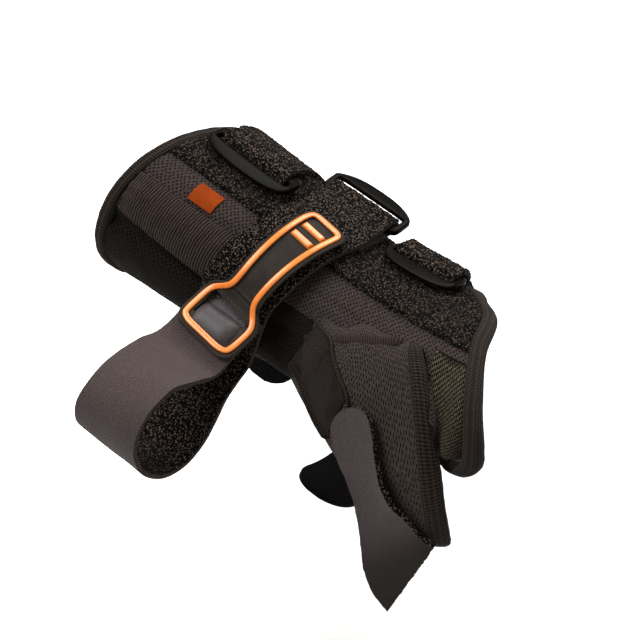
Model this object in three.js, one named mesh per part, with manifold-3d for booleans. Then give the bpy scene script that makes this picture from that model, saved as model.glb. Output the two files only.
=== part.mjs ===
// Thumb spica splint for a left hand, held as it is worn. Millimetres, +X towards the hand, +Z up.
// The origin is the middle of the wrist inside the sleeve.
import * as THREE from 'three';
import { mergeVertices } from 'three/addons/utils/BufferGeometryUtils.js';
import Module from 'manifold-3d';

const wasm = await Module();
wasm.setup();

// Sleeve sections: where along the arm, centre, half width thumb side to little finger side,
// half thickness back of the hand to palm
const SLEEVE = [
  { x: -95, cy: 0, cz: 0, wide: 44, thick: 34.5 },
  { x: -50, cy: 0, cz: 0, wide: 41.5, thick: 33 },
  { x: 0, cy: 0, cz: 0, wide: 37, thick: 30 },
  { x: 35, cy: 1, cz: 3, wide: 39, thick: 29 },
  { x: 70, cy: 3, cz: 9, wide: 43, thick: 28 },
  { x: 110, cy: 6, cz: 18, wide: 44, thick: 26 },
];
const ROLL = 26;             // the arm is rolled about its length by this many degrees
const SQUARENESS = 2.2;      // 2 is an ellipse, more is squarer
const WALL = 3;              // laminate with its lining
const GAP = 0.3;             // between pieces that touch
const WEB = 1.4;             // strap webbing and elastic
const HOOK_TAPE = 2;         // hook tape on the end of a strap
const TAB_SEAM = 0.8;        // from the end of a strap to its hook tab, along the bend

// Rims: angle round the arm (0 back of the hand, 90 thumb side), and where the rim lies along X
const HAND_RIM = [
  { round: -90, x: 48 },
  { round: -35, x: 48 },
  { round: -20, x: 56 },
  { round: -5, x: 67 },
  { round: 22, x: 75.5 },
  { round: 54, x: 90 },
  { round: 85, x: 101 },
  { round: 115, x: 102 },
  { round: 180, x: 74 },
  { round: 270, x: 48 },
];
const FOREARM_RIM = { x: -84, slant: 6, turn: 10 };
const BINDING = { wide: 8, proud: 0.9, forearmWide: 5.5 };

// Panels on the sleeve: along X, round the arm, how far they stand off it
const LOOP_PANEL = { round0: -64, round1: 30, thick: 1.2 };
const STAY_POCKET = { x0: -81, x1: -12, round0: 50, round1: 86, edge: 1.0, hump: 2.4 };
const LABEL = { x0: -60, x1: -48, round0: 35, round1: 48, thick: 0.5 };

// Thumb sheath sections: top and bottom of a flattened ring, and its depth on its near and far side
const THUMB = [
  { top: [5, -17, 26], bottom: [2, -31, -6], near: 10, far: 9 },
  { top: [21, -21, 29], bottom: [24, -39, -9], near: 16, far: 12 },
  { top: [32, -18, 34], bottom: [44, -44, -19], near: 20, far: 12 },
  { top: [42, -17, 36.5], bottom: [69, -47, -26], near: 22, far: 12 },
  { top: [50, -15, 38], bottom: [91, -47, -22], near: 22, far: 12 },
  { top: [55, -12, 39], bottom: [100, -46, -20], near: 22, far: 12 },
];
const SIGHT = [0.5, -0.43, 0.8];    // the side of the sheath that bulges most
const SHEATH_WALL = 2.4;
const THUMB_BINDING = { wide: 9, thick: 5, from: 10, to: 225 };

// Gauze over the web of the thumb: its near edge along X by angle
const GAUZE = [
  { round: 36, x: 60 },
  { round: 50, x: 68 },
  { round: 66, x: 77 },
  { round: 84, x: 83 },
  { round: 104, x: 86 },
];
const GAUZE_THICK = 1.2;
const THUMB_GAP_ROUND = 140;

// Rings that the straps turn on: outer length and width, bare bar, bar that the strap holds, thickness
const RING_FOREARM = { x: -54, round: 6, long: 43, wide: 16, bar: 5, held: 6.6, thick: 2.4 };
const RING_WRIST = {
  x: -11, round: -17, long: 39, wide: 14.5, bar: 5, held: 5.5, thick: 2.4, droop: 8, lift: 2.4,
};
const RING_HAND = { x: 29, round: -9, long: 34, wide: 16, bar: 5, held: 6.6, thick: 2.4 };

const RING_CORNER = 4;
const RING_SIDE = 2.6;
const RING_SLACK = 0.2;
const TURN_SLACK = 0.9;

// Straps: width and the way they hang, as centre line rows across the arm
const STRAP_FOREARM = {
  wide: 33,
  tail: [
    { x: -58, y: 42, z: -26 }, { x: -56, y: 41, z: -44 }, { x: -54, y: 34, z: -62 },
  ],
  tab: [
    { x: -50, y: 20, z: -82 }, { x: -47, y: 4, z: -98 },
  ],
};
const STRAP_HAND = {
  wide: 27.5,
  tail: [
    { x: 24, y: 41, z: -20 }, { x: 24, y: 41, z: -42 }, { x: 24, y: 33, z: -64 },
    { x: 24, y: 16, z: -81 }, { x: 24, y: 1, z: -86.5 },
  ],
  tab: [
    { x: 24, y: -18, z: -82 }, { x: 23.5, y: -38, z: -69.5 },
  ],
};
const STRAP_WRIST = {
  wide: 32,
  rootX: -10.5,
  loopX: -19,
  loop: [
    { y: -38.3, z: 18, lift: 0 }, { y: -42, z: 10, lift: 0 }, { y: -46.5, z: 3.2, lift: 0 },
    { y: -53, z: -0.5, lift: 0 }, { y: -60, z: -5.5, lift: 0 }, { y: -66, z: -13, lift: 0 },
    { y: -73, z: -20.5, lift: 0 }, { y: -83, z: -24, lift: 0 }, { y: -93, z: -20.5, lift: 0 },
    { y: -101, z: -12, lift: 0 }, { y: -106, z: -2, lift: 0 }, { y: -108, z: 9, lift: 2 },
    { y: -105.5, z: 18.5, lift: 3 }, { y: -98, z: 24.5, lift: 4 }, { y: -86, z: 26, lift: 4 },
    { y: -71, z: 19.5, lift: 1 }, { y: -61, z: 12.6, lift: 0 }, { y: -54.5, z: 10.4, lift: 0 },
    { y: -49, z: 12.6, lift: 0 }, { y: -44, z: 16.2, lift: 0 },
  ],
};
const THUMB_STRAP = [
  { left: [40.5, -46, 15], right: [53, -41, 27] },
  { left: [42, -48, 10], right: [57, -43, 25] },
  { left: [45, -49.5, 3.5], right: [63, -47, 18.5] },
  { left: [49, -50.5, -4], right: [67, -49.5, 12] },
  { left: [54.5, -51.5, -8.5], right: [71.5, -51.5, 5] },
  { left: [59, -52, -18], right: [77.5, -53, -1] },
  { left: [61.5, -52, -40], right: [87, -53.5, -5] },
  { left: [64, -52, -66], right: [93.5, -54, -9] },
  { left: [69, -51.5, -81], right: [97.5, -54, -8] },
  { left: [76.5, -51, -88], right: [99.5, -54, -7.5] },
];

// Pull tab: half width by distance from its round end, and what stands on it
const PULL_TAB = [
  { along: 0, half: 4 },
  { along: 1.5, half: 8.2 },
  { along: 5, half: 10.8 },
  { along: 14, half: 10.4 },
  { along: 34, half: 9 },
  { along: 45, half: 8.8 },
  { along: 49, half: 11 },
  { along: 53, half: 15.2 },
  { along: 70, half: 15.4 },
  { along: 73, half: 13.4 },
];
const TAB_HEAD = [[-17.5, -43, 21], [-19.5, -48.5, 17], [-21.5, -55, 14.3], [-23, -61, 13.5]];
const TAB_THICK = 2.2;
const TAB_WINDOW = { from: 54.5, to: 66, half: 10.8 };
const TRIM = { inset: 1.7, wide: 2.2, high: 0.9 };
const TRIM_BARS = [{ from: 9, to: 11.4 }, { from: 15, to: 17.4 }];

const COLOURS = {
  laminate: 0x3b383c, loop: 0x262427, webbing: 0x343136, binding: 0x2b2a29, gauze: 0x3a3833,
  elastic: 0x4d484d, hook: 0x1c1b1c, ring: 0x151515, rubber: 0x2a292b, trim: 0xe8802f, label: 0xb85a28,
};

// Plain helpers
const rad = (degrees) => degrees * Math.PI / 180;
const lerp = (a, b, t) => a + (b - a) * t;
const vec = (a) => (Array.isArray(a) ? new THREE.Vector3(...a) : new THREE.Vector3(a.x, a.y, a.z));
const mix = (a, b, t) => a.clone().lerp(b, t);

// Smooth value of one column of a table at a key
function column(table, key, name, at) {
  const last = table.length - 1;
  let i = 0;
  while (i < last - 1 && at > table[i + 1][key]) i += 1;
  const slope = (k) => {
    const a = table[Math.max(k - 1, 0)];
    const b = table[Math.min(k + 1, last)];
    return (b[name] - a[name]) / (b[key] - a[key]);
  };
  const span = table[i + 1][key] - table[i][key];
  const t = (at - table[i][key]) / span;
  const rise = 3 * t * t - 2 * t * t * t;
  return lerp(table[i][name], table[i + 1][name], rise)
    + (t * t * t - 2 * t * t + t) * span * slope(i)
    + (t * t * t - t * t) * span * slope(i + 1);
}

// A point on the sleeve, by place along the arm, angle round it and distance off it
function sleeve(x, round, off = 0) {
  const s = Math.sin(rad(round));
  const c = Math.cos(rad(round));
  const k = (Math.abs(s) ** SQUARENESS + Math.abs(c) ** SQUARENESS) ** (-1 / SQUARENESS);
  const side = (column(SLEEVE, 'x', 'wide', x) + off) * s * k;
  const up = (column(SLEEVE, 'x', 'thick', x) + off) * c * k;
  return new THREE.Vector3(
    x,
    column(SLEEVE, 'x', 'cy', x) - side * Math.cos(rad(ROLL)) + up * Math.sin(rad(ROLL)),
    column(SLEEVE, 'x', 'cz', x) + side * Math.sin(rad(ROLL)) + up * Math.cos(rad(ROLL)),
  );
}

function sleeveNormal(x, round) {
  const along = sleeve(x + 0.5, round).sub(sleeve(x - 0.5, round));
  const around = sleeve(x, round + 0.5).sub(sleeve(x, round - 0.5));
  return along.cross(around).normalize().multiplyScalar(-1);
}

// The rims' tables run once round, from -90 to 270
function handRim(round) {
  const turned = ((round + 90) % 360 + 360) % 360 - 90;
  return column(HAND_RIM, 'round', 'x', turned);
}

function forearmRim(round) {
  return FOREARM_RIM.x - FOREARM_RIM.slant * Math.sin(rad(round - FOREARM_RIM.turn));
}

// Solids from grids of points
function solid(points, faces) {
  const geometry = new THREE.BufferGeometry();
  geometry.setAttribute('position', new THREE.Float32BufferAttribute(points.flatMap((p) => [p.x, p.y, p.z]), 3));
  let volume = 0;
  for (const [a, b, c] of faces) {
    volume += points[a].dot(points[b].clone().cross(points[c]));
  }
  const turned = volume < 0 ? faces.map(([a, b, c]) => [a, c, b]) : faces;
  geometry.setIndex(turned.flat());
  return geometry;
}

// A slab between two sheets; wrap joins its sides into a ring
function slab(nu, nv, top, bottom, wrap = false) {
  const columns = wrap ? nv : nv + 1;
  const points = [];
  for (const sheet of [top, bottom]) {
    for (let i = 0; i <= nu; i += 1) {
      for (let j = 0; j < columns; j += 1) points.push(sheet(i / nu, j / nv));
    }
  }
  const at = (k, i, j) => (k * (nu + 1) + i) * columns + (wrap ? j % nv : j);
  const faces = [];
  const quad = (a, b, c, d) => faces.push([a, b, c], [a, c, d]);
  for (let i = 0; i < nu; i += 1) {
    for (let j = 0; j < nv; j += 1) {
      quad(at(0, i, j), at(0, i, j + 1), at(0, i + 1, j + 1), at(0, i + 1, j));
      quad(at(1, i, j), at(1, i + 1, j), at(1, i + 1, j + 1), at(1, i, j + 1));
    }
  }
  for (let j = 0; j < nv; j += 1) {
    quad(at(0, 0, j), at(1, 0, j), at(1, 0, j + 1), at(0, 0, j + 1));
    quad(at(0, nu, j), at(0, nu, j + 1), at(1, nu, j + 1), at(1, nu, j));
  }
  for (let i = 0; i < nu && !wrap; i += 1) {
    quad(at(0, i, 0), at(0, i + 1, 0), at(1, i + 1, 0), at(1, i, 0));
    quad(at(0, i, nv), at(1, i, nv), at(1, i + 1, nv), at(0, i + 1, nv));
  }
  return solid(points, faces);
}

// A stack of closed rings with both ends filled, or joined end to end
function loft(rings, joined = false) {
  const n = rings[0].length;
  const points = rings.flat();
  const faces = [];
  const count = joined ? rings.length : rings.length - 1;
  for (let i = 0; i < count; i += 1) {
    for (let j = 0; j < n; j += 1) {
      const a = i * n + j;
      const b = i * n + (j + 1) % n;
      const c = ((i + 1) % rings.length) * n + (j + 1) % n;
      const d = ((i + 1) % rings.length) * n + j;
      faces.push([a, b, c], [a, c, d]);
    }
  }
  if (joined) return solid(points, faces);
  for (const end of [0, rings.length - 1]) {
    const middle = points.length;
    points.push(rings[end].reduce((sum, p) => sum.add(p), new THREE.Vector3()).divideScalar(n));
    for (let j = 0; j < n; j += 1) {
      const a = end * n + j;
      const b = end * n + (j + 1) % n;
      faces.push(end ? [a, b, middle] : [b, a, middle]);
    }
  }
  return solid(points, faces);
}

// A flat band along rows of a middle point and half its width as a vector
function ribbon(rows, thick) {
  return loft(rows.map(({ middle, across }, i) => {
    const before = rows[Math.max(i - 1, 0)].middle;
    const after = rows[Math.min(i + 1, rows.length - 1)].middle;
    const up = across.clone().cross(after.clone().sub(before)).setLength(thick / 2);
    const corner = (side, height) => middle.clone().addScaledVector(across, side).addScaledVector(up, height);
    return [corner(-1, -1), corner(1, -1), corner(1, 1), corner(-1, 1)];
  }));
}

// Booleans
function toManifold(geometry) {
  const bare = geometry.clone();
  bare.deleteAttribute('normal');
  bare.deleteAttribute('uv');
  const merged = mergeVertices(bare, 1e-4);
  return new wasm.Manifold(new wasm.Mesh({
    numProp: 3,
    vertProperties: new Float32Array(merged.attributes.position.array),
    triVerts: new Uint32Array(merged.index.array),
  }));
}

function toGeometry(manifold) {
  const mesh = manifold.getMesh();
  const geometry = new THREE.BufferGeometry();
  geometry.setAttribute('position', new THREE.Float32BufferAttribute(mesh.vertProperties, 3));
  geometry.setIndex(Array.from(mesh.triVerts));
  return geometry;
}

function cut(geometry, ...cutters) {
  return toGeometry(cutters.reduce((rest, cutter) => rest.subtract(toManifold(cutter)), toManifold(geometry)));
}

function join(...geometries) {
  return toGeometry(geometries.map(toManifold).reduce((all, next) => all.add(next)));
}

// The sleeve and what lies on it
function sleeveBand(x0, x1, off0, off1, along, around) {
  const sheet = (off) => (u, v) => {
    const round = 360 * v;
    return sleeve(lerp(x0(round), x1(round), u), round, off);
  };
  return slab(along, around, sheet(off1), sheet(off0), true);
}

function patch({ x0, x1, round0, round1 }, bottom, top, along, around) {
  const sheet = (off) => (u, v) => {
    const round = lerp(round0, round1, v);
    const x = lerp(typeof x0 === 'function' ? x0(round) : x0, typeof x1 === 'function' ? x1(round) : x1, u);
    return sleeve(x, round, typeof off === 'function' ? off(u, v) : off);
  };
  return slab(along, around, sheet(top), sheet(bottom));
}

function sleevePlug(off) {
  const rings = [];
  for (let x = -95; x <= 110; x += 12.8125) {
    rings.push(Array.from({ length: 44 }, (_, j) => sleeve(x, 360 * j / 44, off)));
  }
  return loft(rings);
}

const ALL_ROUND = Array.from({ length: 28 }, (_, j) => 360 * j / 28);

function thumbRing(row, inset, rounds = ALL_ROUND) {
  const top = vec(row.top);
  const bottom = vec(row.bottom);
  const middle = mix(top, bottom, 0.5);
  const high = top.clone().sub(middle);
  const sight = vec(SIGHT);
  const deep = sight.clone().addScaledVector(high, -sight.dot(high) / high.lengthSq()).normalize();
  return rounds.map((round) => middle.clone()
    .addScaledVector(high.clone().normalize(), Math.cos(rad(round)) * (high.length() - inset))
    .addScaledVector(deep, Math.sin(rad(round)) * ((round % 360 < 180 ? row.near : row.far) - inset)));
}

function thumbRow(at) {
  const keyed = THUMB.map(({ top, bottom, near, far }, key) => ({
    key, tx: top[0], ty: top[1], tz: top[2], bx: bottom[0], by: bottom[1], bz: bottom[2], near, far,
  }));
  const value = (name) => column(keyed, 'key', name, at);
  return {
    top: [value('tx'), value('ty'), value('tz')],
    bottom: [value('bx'), value('by'), value('bz')],
    near: value('near'),
    far: value('far'),
  };
}

function thumbTube(from, to, steps, inset) {
  return loft(Array.from({ length: steps + 1 }, (_, i) => thumbRing(thumbRow(lerp(from, to, i / steps)), inset)));
}

const sheathEnd = THUMB.length - 2;
const gauzeEdge = (round) => column(GAUZE, 'round', 'x', round);

function sleeveShell() {
  const start = (round) => forearmRim(round) + BINDING.forearmWide + GAP;
  const end = (round) => handRim(round) - BINDING.wide - GAP;
  const shell = sleeveBand(start, end, -WALL, 0, 14, 44);
  const hole = patch(
    { x0: (round) => gauzeEdge(Math.min(round, 104)) - GAP, x1: 125, round0: 36, round1: THUMB_GAP_ROUND },
    -WALL - 8, 8, 8, 14,
  );
  return cut(shell, thumbTube(0.6, THUMB.length - 1, 10, SHEATH_WALL), hole);
}

function rimBand(inside, outside, off0, off1, around) {
  return sleeveBand(inside, outside, off0, off1, 2, around);
}

function thumbSheath() {
  const outer = thumbTube(0, sheathEnd, 8, 0);
  const inner = thumbTube(-0.2, sheathEnd + 0.2, 9, SHEATH_WALL);
  return cut(outer, inner, sleevePlug(GAP));
}

function thumbBinding() {
  const { wide, thick, from, to } = THUMB_BINDING;
  const steps = 26;
  const rounds = Array.from({ length: steps + 1 }, (_, i) => lerp(from, to, i / steps));
  const sheath = thumbRing(thumbRow(sheathEnd), 0, rounds);
  const ahead = thumbRing(thumbRow(sheathEnd + 1), 0, rounds);
  const middle = thumbRing(thumbRow(sheathEnd), 0, [0, 180]);
  const centre = mix(middle[0], middle[1], 0.5);
  const rows = sheath.map((edge, i) => {
    const out = edge.clone().sub(centre).normalize();
    const away = ahead[i].clone().sub(edge).normalize();
    away.addScaledVector(out, -away.dot(out)).normalize();
    const start = edge.clone().addScaledVector(out, -SHEATH_WALL / 2).addScaledVector(away, GAP);
    const end = i === 0 || i === steps ? 0.5 : 1;
    return Array.from({ length: 8 }, (_, k) => {
      const turn = 2 * Math.PI * (k + 0.5) / 8;
      return start.clone()
        .addScaledVector(away, wide / 2 + end * Math.cos(turn) * wide / 2)
        .addScaledVector(out, end * Math.sin(turn) * thick / 2);
    });
  });
  return cut(loft(rows), sleevePlug(GAP));
}

function gauze() {
  const sheet = {
    x0: (round) => gauzeEdge(round) + 2 * GAP,
    x1: (round) => handRim(round) - BINDING.wide - 2 * GAP,
    round0: 37.5,
    round1: 104,
  };
  return patch(sheet, -WALL / 2 - GAUZE_THICK / 2, -WALL / 2 + GAUZE_THICK / 2, 3, 12);
}

function loopPanel() {
  const x0 = (round) => forearmRim(round) + BINDING.forearmWide + 3 * GAP;
  const x1 = (round) => handRim(round) - BINDING.wide - 3 * GAP;
  return patch({ ...LOOP_PANEL, x0, x1 }, GAP, PANEL_TOP, 14, 16);
}

// Rings: a flat frame with one slot, lying in the XY plane before it is placed
function ringFrame({ long, wide, bar, held, thick }) {
  const outline = (shape, l, low, high, r) => {
    shape.moveTo(-l + r, low);
    shape.lineTo(l - r, low).absarc(l - r, low + r, r, -Math.PI / 2, 0, false);
    shape.lineTo(l, high - r).absarc(l - r, high - r, r, 0, Math.PI / 2, false);
    shape.lineTo(-l + r, high).absarc(-l + r, high - r, r, Math.PI / 2, Math.PI, false);
    shape.lineTo(-l, low + r).absarc(-l + r, low + r, r, Math.PI, Math.PI * 1.5, false);
    return shape;
  };
  const plate = outline(new THREE.Shape(), long / 2, -wide / 2, wide / 2, RING_CORNER);
  const slotHalf = long / 2 - RING_SIDE;
  plate.holes.push(outline(new THREE.Path(), slotHalf, -wide / 2 + bar, wide / 2 - held, RING_SIDE / 4));
  const geometry = new THREE.ExtrudeGeometry(plate, { depth: thick, bevelEnabled: false, curveSegments: 4 });
  return geometry.translate(0, 0, -thick / 2);
}

// Where a ring lies: its middle, the way along it, and the way up from it
function seat(ring, off) {
  const up = sleeveNormal(ring.x, ring.round);
  const along = sleeve(ring.x + 1, ring.round).sub(sleeve(ring.x - 1, ring.round)).normalize();
  const side = up.clone().cross(along).normalize();
  const middle = sleeve(ring.x, ring.round).addScaledVector(up, off);
  return { along, side, up, middle };
}

function place(mesh, { along, side, up, middle }) {
  const basis = new THREE.Matrix4().makeBasis(along, side, up);
  mesh.quaternion.setFromRotationMatrix(basis);
  mesh.position.copy(middle);
  return mesh;
}

// A strap's turn round the held bar of a ring, from below it to above it
function barTurn(ring, at, wide, tailLong) {
  const reach = ring.wide / 2 - ring.held / 2;
  const radius = ring.held / 2 + GAP + WEB / 2 + TURN_SLACK;
  const height = ring.thick / 2 + GAP + WEB / 2;
  const point = (side, up) => ({
    middle: at.middle.clone().addScaledVector(at.side, reach + side).addScaledVector(at.up, up),
    across: at.along.clone().multiplyScalar(Math.sign(at.along.x) * wide / 2),
  });
  const turns = Array.from({ length: 7 }, (_, k) => Math.PI * (k / 6 - 0.5));
  const bend = turns.map((turn) => point(-radius + height * (1 - Math.cos(turn)), height * Math.sin(turn)));
  return [point(tailLong, -height), ...bend, point(ring.held / 2 + TURN_SLACK, height)];
}

function onSleeve(x, rounds, off, wide) {
  return rounds.map((round) => ({
    middle: sleeve(x, round, off),
    across: sleeve(x + 1, round).sub(sleeve(x - 1, round)).setLength(wide / 2),
  }));
}

function hanging(rows, wide) {
  return rows.map((row) => ({ middle: vec(row), across: new THREE.Vector3(wide / 2, 0, 0) }));
}

function smooth(rows, count) {
  const middles = new THREE.CatmullRomCurve3(rows.map((row) => row.middle), false, 'centripetal');
  return Array.from({ length: count + 1 }, (_, i) => {
    const t = i / count;
    const reach = t * (rows.length - 1);
    const k = Math.min(Math.floor(reach), rows.length - 2);
    return { middle: middles.getPoint(t), across: mix(rows[k].across, rows[k + 1].across, reach - k) };
  });
}

// Rounds the last stretch of a band off, like a tongue
function tongue(rows, long) {
  const lengths = [0];
  for (let i = rows.length - 1; i > 0; i -= 1) {
    lengths.unshift(lengths[0] + rows[i].middle.distanceTo(rows[i - 1].middle));
  }
  return rows.map((row, i) => {
    const short = Math.max(0, 1 - lengths[i] / long);
    return { middle: row.middle, across: row.across.clone().multiplyScalar(Math.sqrt(1 - 0.92 * short ** 2.5)) };
  });
}

const PANEL_TOP = GAP + LOOP_PANEL.thick;
const ringHeight = (ring) => PANEL_TOP + 2 * GAP + WEB + ring.thick / 2 + RING_SLACK;
const seatForearm = seat(RING_FOREARM, ringHeight(RING_FOREARM));
const seatHand = seat(RING_HAND, ringHeight(RING_HAND));

function strapForearm() {
  const top = PANEL_TOP + GAP + WEB / 2 + 0.2;
  const rows = [
    ...barTurn(RING_FOREARM, seatForearm, STRAP_FOREARM.wide, 3.5),
    ...onSleeve(RING_FOREARM.x - 3, [-18], top + 1.6, STRAP_FOREARM.wide),
    ...onSleeve(RING_FOREARM.x - 5, [-30, -40, -50, -62, -76, -92, -106], top, STRAP_FOREARM.wide),
    ...smooth(hanging(STRAP_FOREARM.tail, STRAP_FOREARM.wide), 4),
  ];
  return ribbon(rows, WEB);
}

function strapHand() {
  const top = PANEL_TOP + GAP + WEB / 2 + 0.2;
  const rows = [
    ...barTurn(RING_HAND, seatHand, STRAP_HAND.wide, 3.5),
    ...onSleeve(RING_HAND.x - 3, [-34], top + 1.6, STRAP_HAND.wide),
    ...onSleeve(RING_HAND.x - 5, [-46, -56, -66, -78, -90, -104], top + 0.2, STRAP_HAND.wide),
    ...smooth(hanging(STRAP_HAND.tail, STRAP_HAND.wide), 8),
  ];
  return ribbon(rows, WEB);
}

// A hook tab goes on from the end of its strap
function hookTab({ tail, tab, wide }) {
  const [before, end] = smooth(hanging(tail, wide), 12).slice(-2).map((row) => row.middle);
  const start = end.clone().add(end.clone().sub(before).setLength(TAB_SEAM));
  return ribbon(tongue(smooth(hanging([start, ...tab], wide), 12), wide / 2), HOOK_TAPE);
}

function thumbStrap() {
  const rows = THUMB_STRAP.map(({ left, right }) => ({
    middle: mix(vec(left), vec(right), 0.5),
    across: vec(right).sub(vec(left)).multiplyScalar(0.5),
  }));
  return ribbon(tongue(smooth(rows, 20).reverse(), 9), WEB);
}

// The wrist ring stands out level from the back of the hand
function seatWrist() {
  const along = new THREE.Vector3(-1, 0, 0);
  const side = new THREE.Vector3(0, -Math.cos(rad(RING_WRIST.droop)), Math.sin(rad(RING_WRIST.droop)));
  const bar = sleeve(RING_WRIST.x, RING_WRIST.round, ringHeight(RING_WRIST) + RING_WRIST.lift);
  const middle = bar.addScaledVector(side, -(RING_WRIST.wide - RING_WRIST.held) / 2);
  return { along, side, up: along.clone().cross(side), middle };
}
const wristSeat = seatWrist();

// The wrist strap starts on the sleeve, turns on its ring and comes back over itself
function wristRows() {
  const { wide, rootX, loopX, loop } = STRAP_WRIST;
  const low = PANEL_TOP + GAP + WEB / 2 + 0.3;
  const rows = [
    ...onSleeve(rootX, [8, 3, -2, -7], low, wide),
    ...barTurn(RING_WRIST, wristSeat, wide, RING_WRIST.held / 2),
    ...onSleeve(rootX, [-1], low + 4, wide),
    ...onSleeve(rootX, [8], low + 2.4, wide),
  ];
  const out = [18, 28, 38, 48, 58, 68, 76];
  out.forEach((round, i) => {
    rows.push(...onSleeve(lerp(rootX, loopX, (i + 1) / out.length), [round], 5, wide));
  });
  const hang = loop.map(({ y, z, lift }) => ({
    middle: new THREE.Vector3(loopX, y, z),
    across: new THREE.Vector3(wide / 2, 0, lift),
  }));
  rows.push(...smooth(hang, 36));
  return rows;
}
// The pull tab follows the strap that it lies on
function tabPath() {
  const points = [12, 22, 34, 46, 58, 70, 80].map((round, i) => (
    sleeve(lerp(-7.5, -15, i / 6), round, lerp(7.6, 8.8, i / 6))));
  points.push(...TAB_HEAD.map(vec));
  return new THREE.CatmullRomCurve3(points, false, 'centripetal');
}
const tabCurve = tabPath();
const tabLength = tabCurve.getLength();

function onTab(along, across, height) {
  const t = THREE.MathUtils.clamp(along / tabLength, 0, 1);
  const middle = tabCurve.getPointAt(t);
  const tangent = tabCurve.getTangentAt(t);
  const side = new THREE.Vector3(1, 0, 0);
  side.addScaledVector(tangent, -side.dot(tangent)).normalize();
  const up = side.clone().cross(tangent).normalize();
  if (up.dot(new THREE.Vector3(0, -0.5, 1)) < 0) up.negate();
  return middle.addScaledVector(side, across).addScaledVector(up, height);
}

const tabHalf = (along) => column(PULL_TAB, 'along', 'half', along);
const tabEnd = PULL_TAB[PULL_TAB.length - 1].along;

function tabPlate(from, to, half, low, high, along, across) {
  const sheet = (height) => (u, v) => {
    const s = lerp(from, to, u);
    return onTab(s, lerp(-1, 1, v) * half(s), height);
  };
  return slab(along, across, sheet(high), sheet(low));
}

function pullTab() {
  const plate = tabPlate(0, tabEnd, tabHalf, -TAB_THICK / 2, TAB_THICK / 2, 34, 2);
  const window = tabPlate(TAB_WINDOW.from, TAB_WINDOW.to, () => TAB_WINDOW.half, -3, 3, 5, 2);
  return cut(plate, window);
}

// The trim runs round the tab just inside its edge
function tabTrim() {
  const low = TAB_THICK / 2 + GAP;
  const line = [];
  const steps = 40;
  for (const side of [-1, 1]) {
    for (let i = 0; i <= steps; i += 1) {
      const share = side < 0 ? i / steps : 1 - i / steps;
      const s = lerp(TRIM.inset, tabEnd - TRIM.inset, share);
      line.push({ s, t: side * Math.max(tabHalf(s) - TRIM.inset, 1) });
    }
  }
  const rows = line.map((point, i) => {
    const before = line[(i + line.length - 1) % line.length];
    const after = line[(i + 1) % line.length];
    const ds = after.s - before.s;
    const dt = after.t - before.t;
    const size = Math.hypot(ds, dt);
    const at = (out, height) => onTab(point.s - out * dt / size, point.t + out * ds / size, height);
    return [at(0, low), at(TRIM.wide, low), at(TRIM.wide, low + TRIM.high), at(0, low + TRIM.high)];
  });
  const bars = TRIM_BARS.map(({ from, to }) => (
    tabPlate(from, to, (s) => tabHalf(s) - TRIM.inset - TRIM.wide / 2, low, low + TRIM.high, 2, 2)));
  return join(loft(rows, true), ...bars);
}

// The assembly
const splint = new THREE.Group();

function add(name, geometry, colour, roughness = 0.9) {
  const mesh = new THREE.Mesh(geometry, new THREE.MeshStandardMaterial({ color: colour, roughness, metalness: 0 }));
  mesh.name = name;
  splint.add(mesh);
  return mesh;
}

add('sleeve_shell', sleeveShell(), COLOURS.laminate);
add('forearm_binding', rimBand(forearmRim, (round) => forearmRim(round) + BINDING.forearmWide,
  -WALL - BINDING.proud, BINDING.proud, 44), COLOURS.binding);
add('hand_binding', rimBand((round) => handRim(round) - BINDING.wide, handRim,
  -WALL - BINDING.proud, BINDING.proud, 44), COLOURS.binding);
add('loop_panel', loopPanel(), COLOURS.loop);
add('stay_pocket', patch(STAY_POCKET, GAP,
  (u, v) => GAP + STAY_POCKET.edge + STAY_POCKET.hump * Math.sin(Math.PI * v), 8, 8), COLOURS.webbing);
add('label', patch(LABEL, GAP, GAP + LABEL.thick, 2, 3), COLOURS.label);
add('thumb_sheath', thumbSheath(), COLOURS.laminate);
add('thumb_binding', thumbBinding(), COLOURS.binding);
add('web_gauze', gauze(), COLOURS.gauze);
place(add('ring_forearm', ringFrame(RING_FOREARM), COLOURS.ring, 0.3), seatForearm);
place(add('ring_wrist', ringFrame(RING_WRIST), COLOURS.ring, 0.3), wristSeat);
place(add('ring_hand', ringFrame(RING_HAND), COLOURS.ring, 0.3), seatHand);
add('strap_forearm', strapForearm(), COLOURS.loop);
add('strap_hand', strapHand(), COLOURS.loop);
add('strap_wrist', ribbon(wristRows(), WEB), COLOURS.elastic);
add('hook_tab_forearm', hookTab(STRAP_FOREARM), COLOURS.hook);
add('hook_tab_hand', hookTab(STRAP_HAND), COLOURS.hook);
add('thumb_strap', thumbStrap(), COLOURS.elastic);
add('pull_tab', pullTab(), COLOURS.rubber, 0.6);
add('tab_trim', tabTrim(), COLOURS.trim, 0.5);

export default splint;
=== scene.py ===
import math
import bpy
from mathutils import Matrix, Vector, noise


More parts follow.
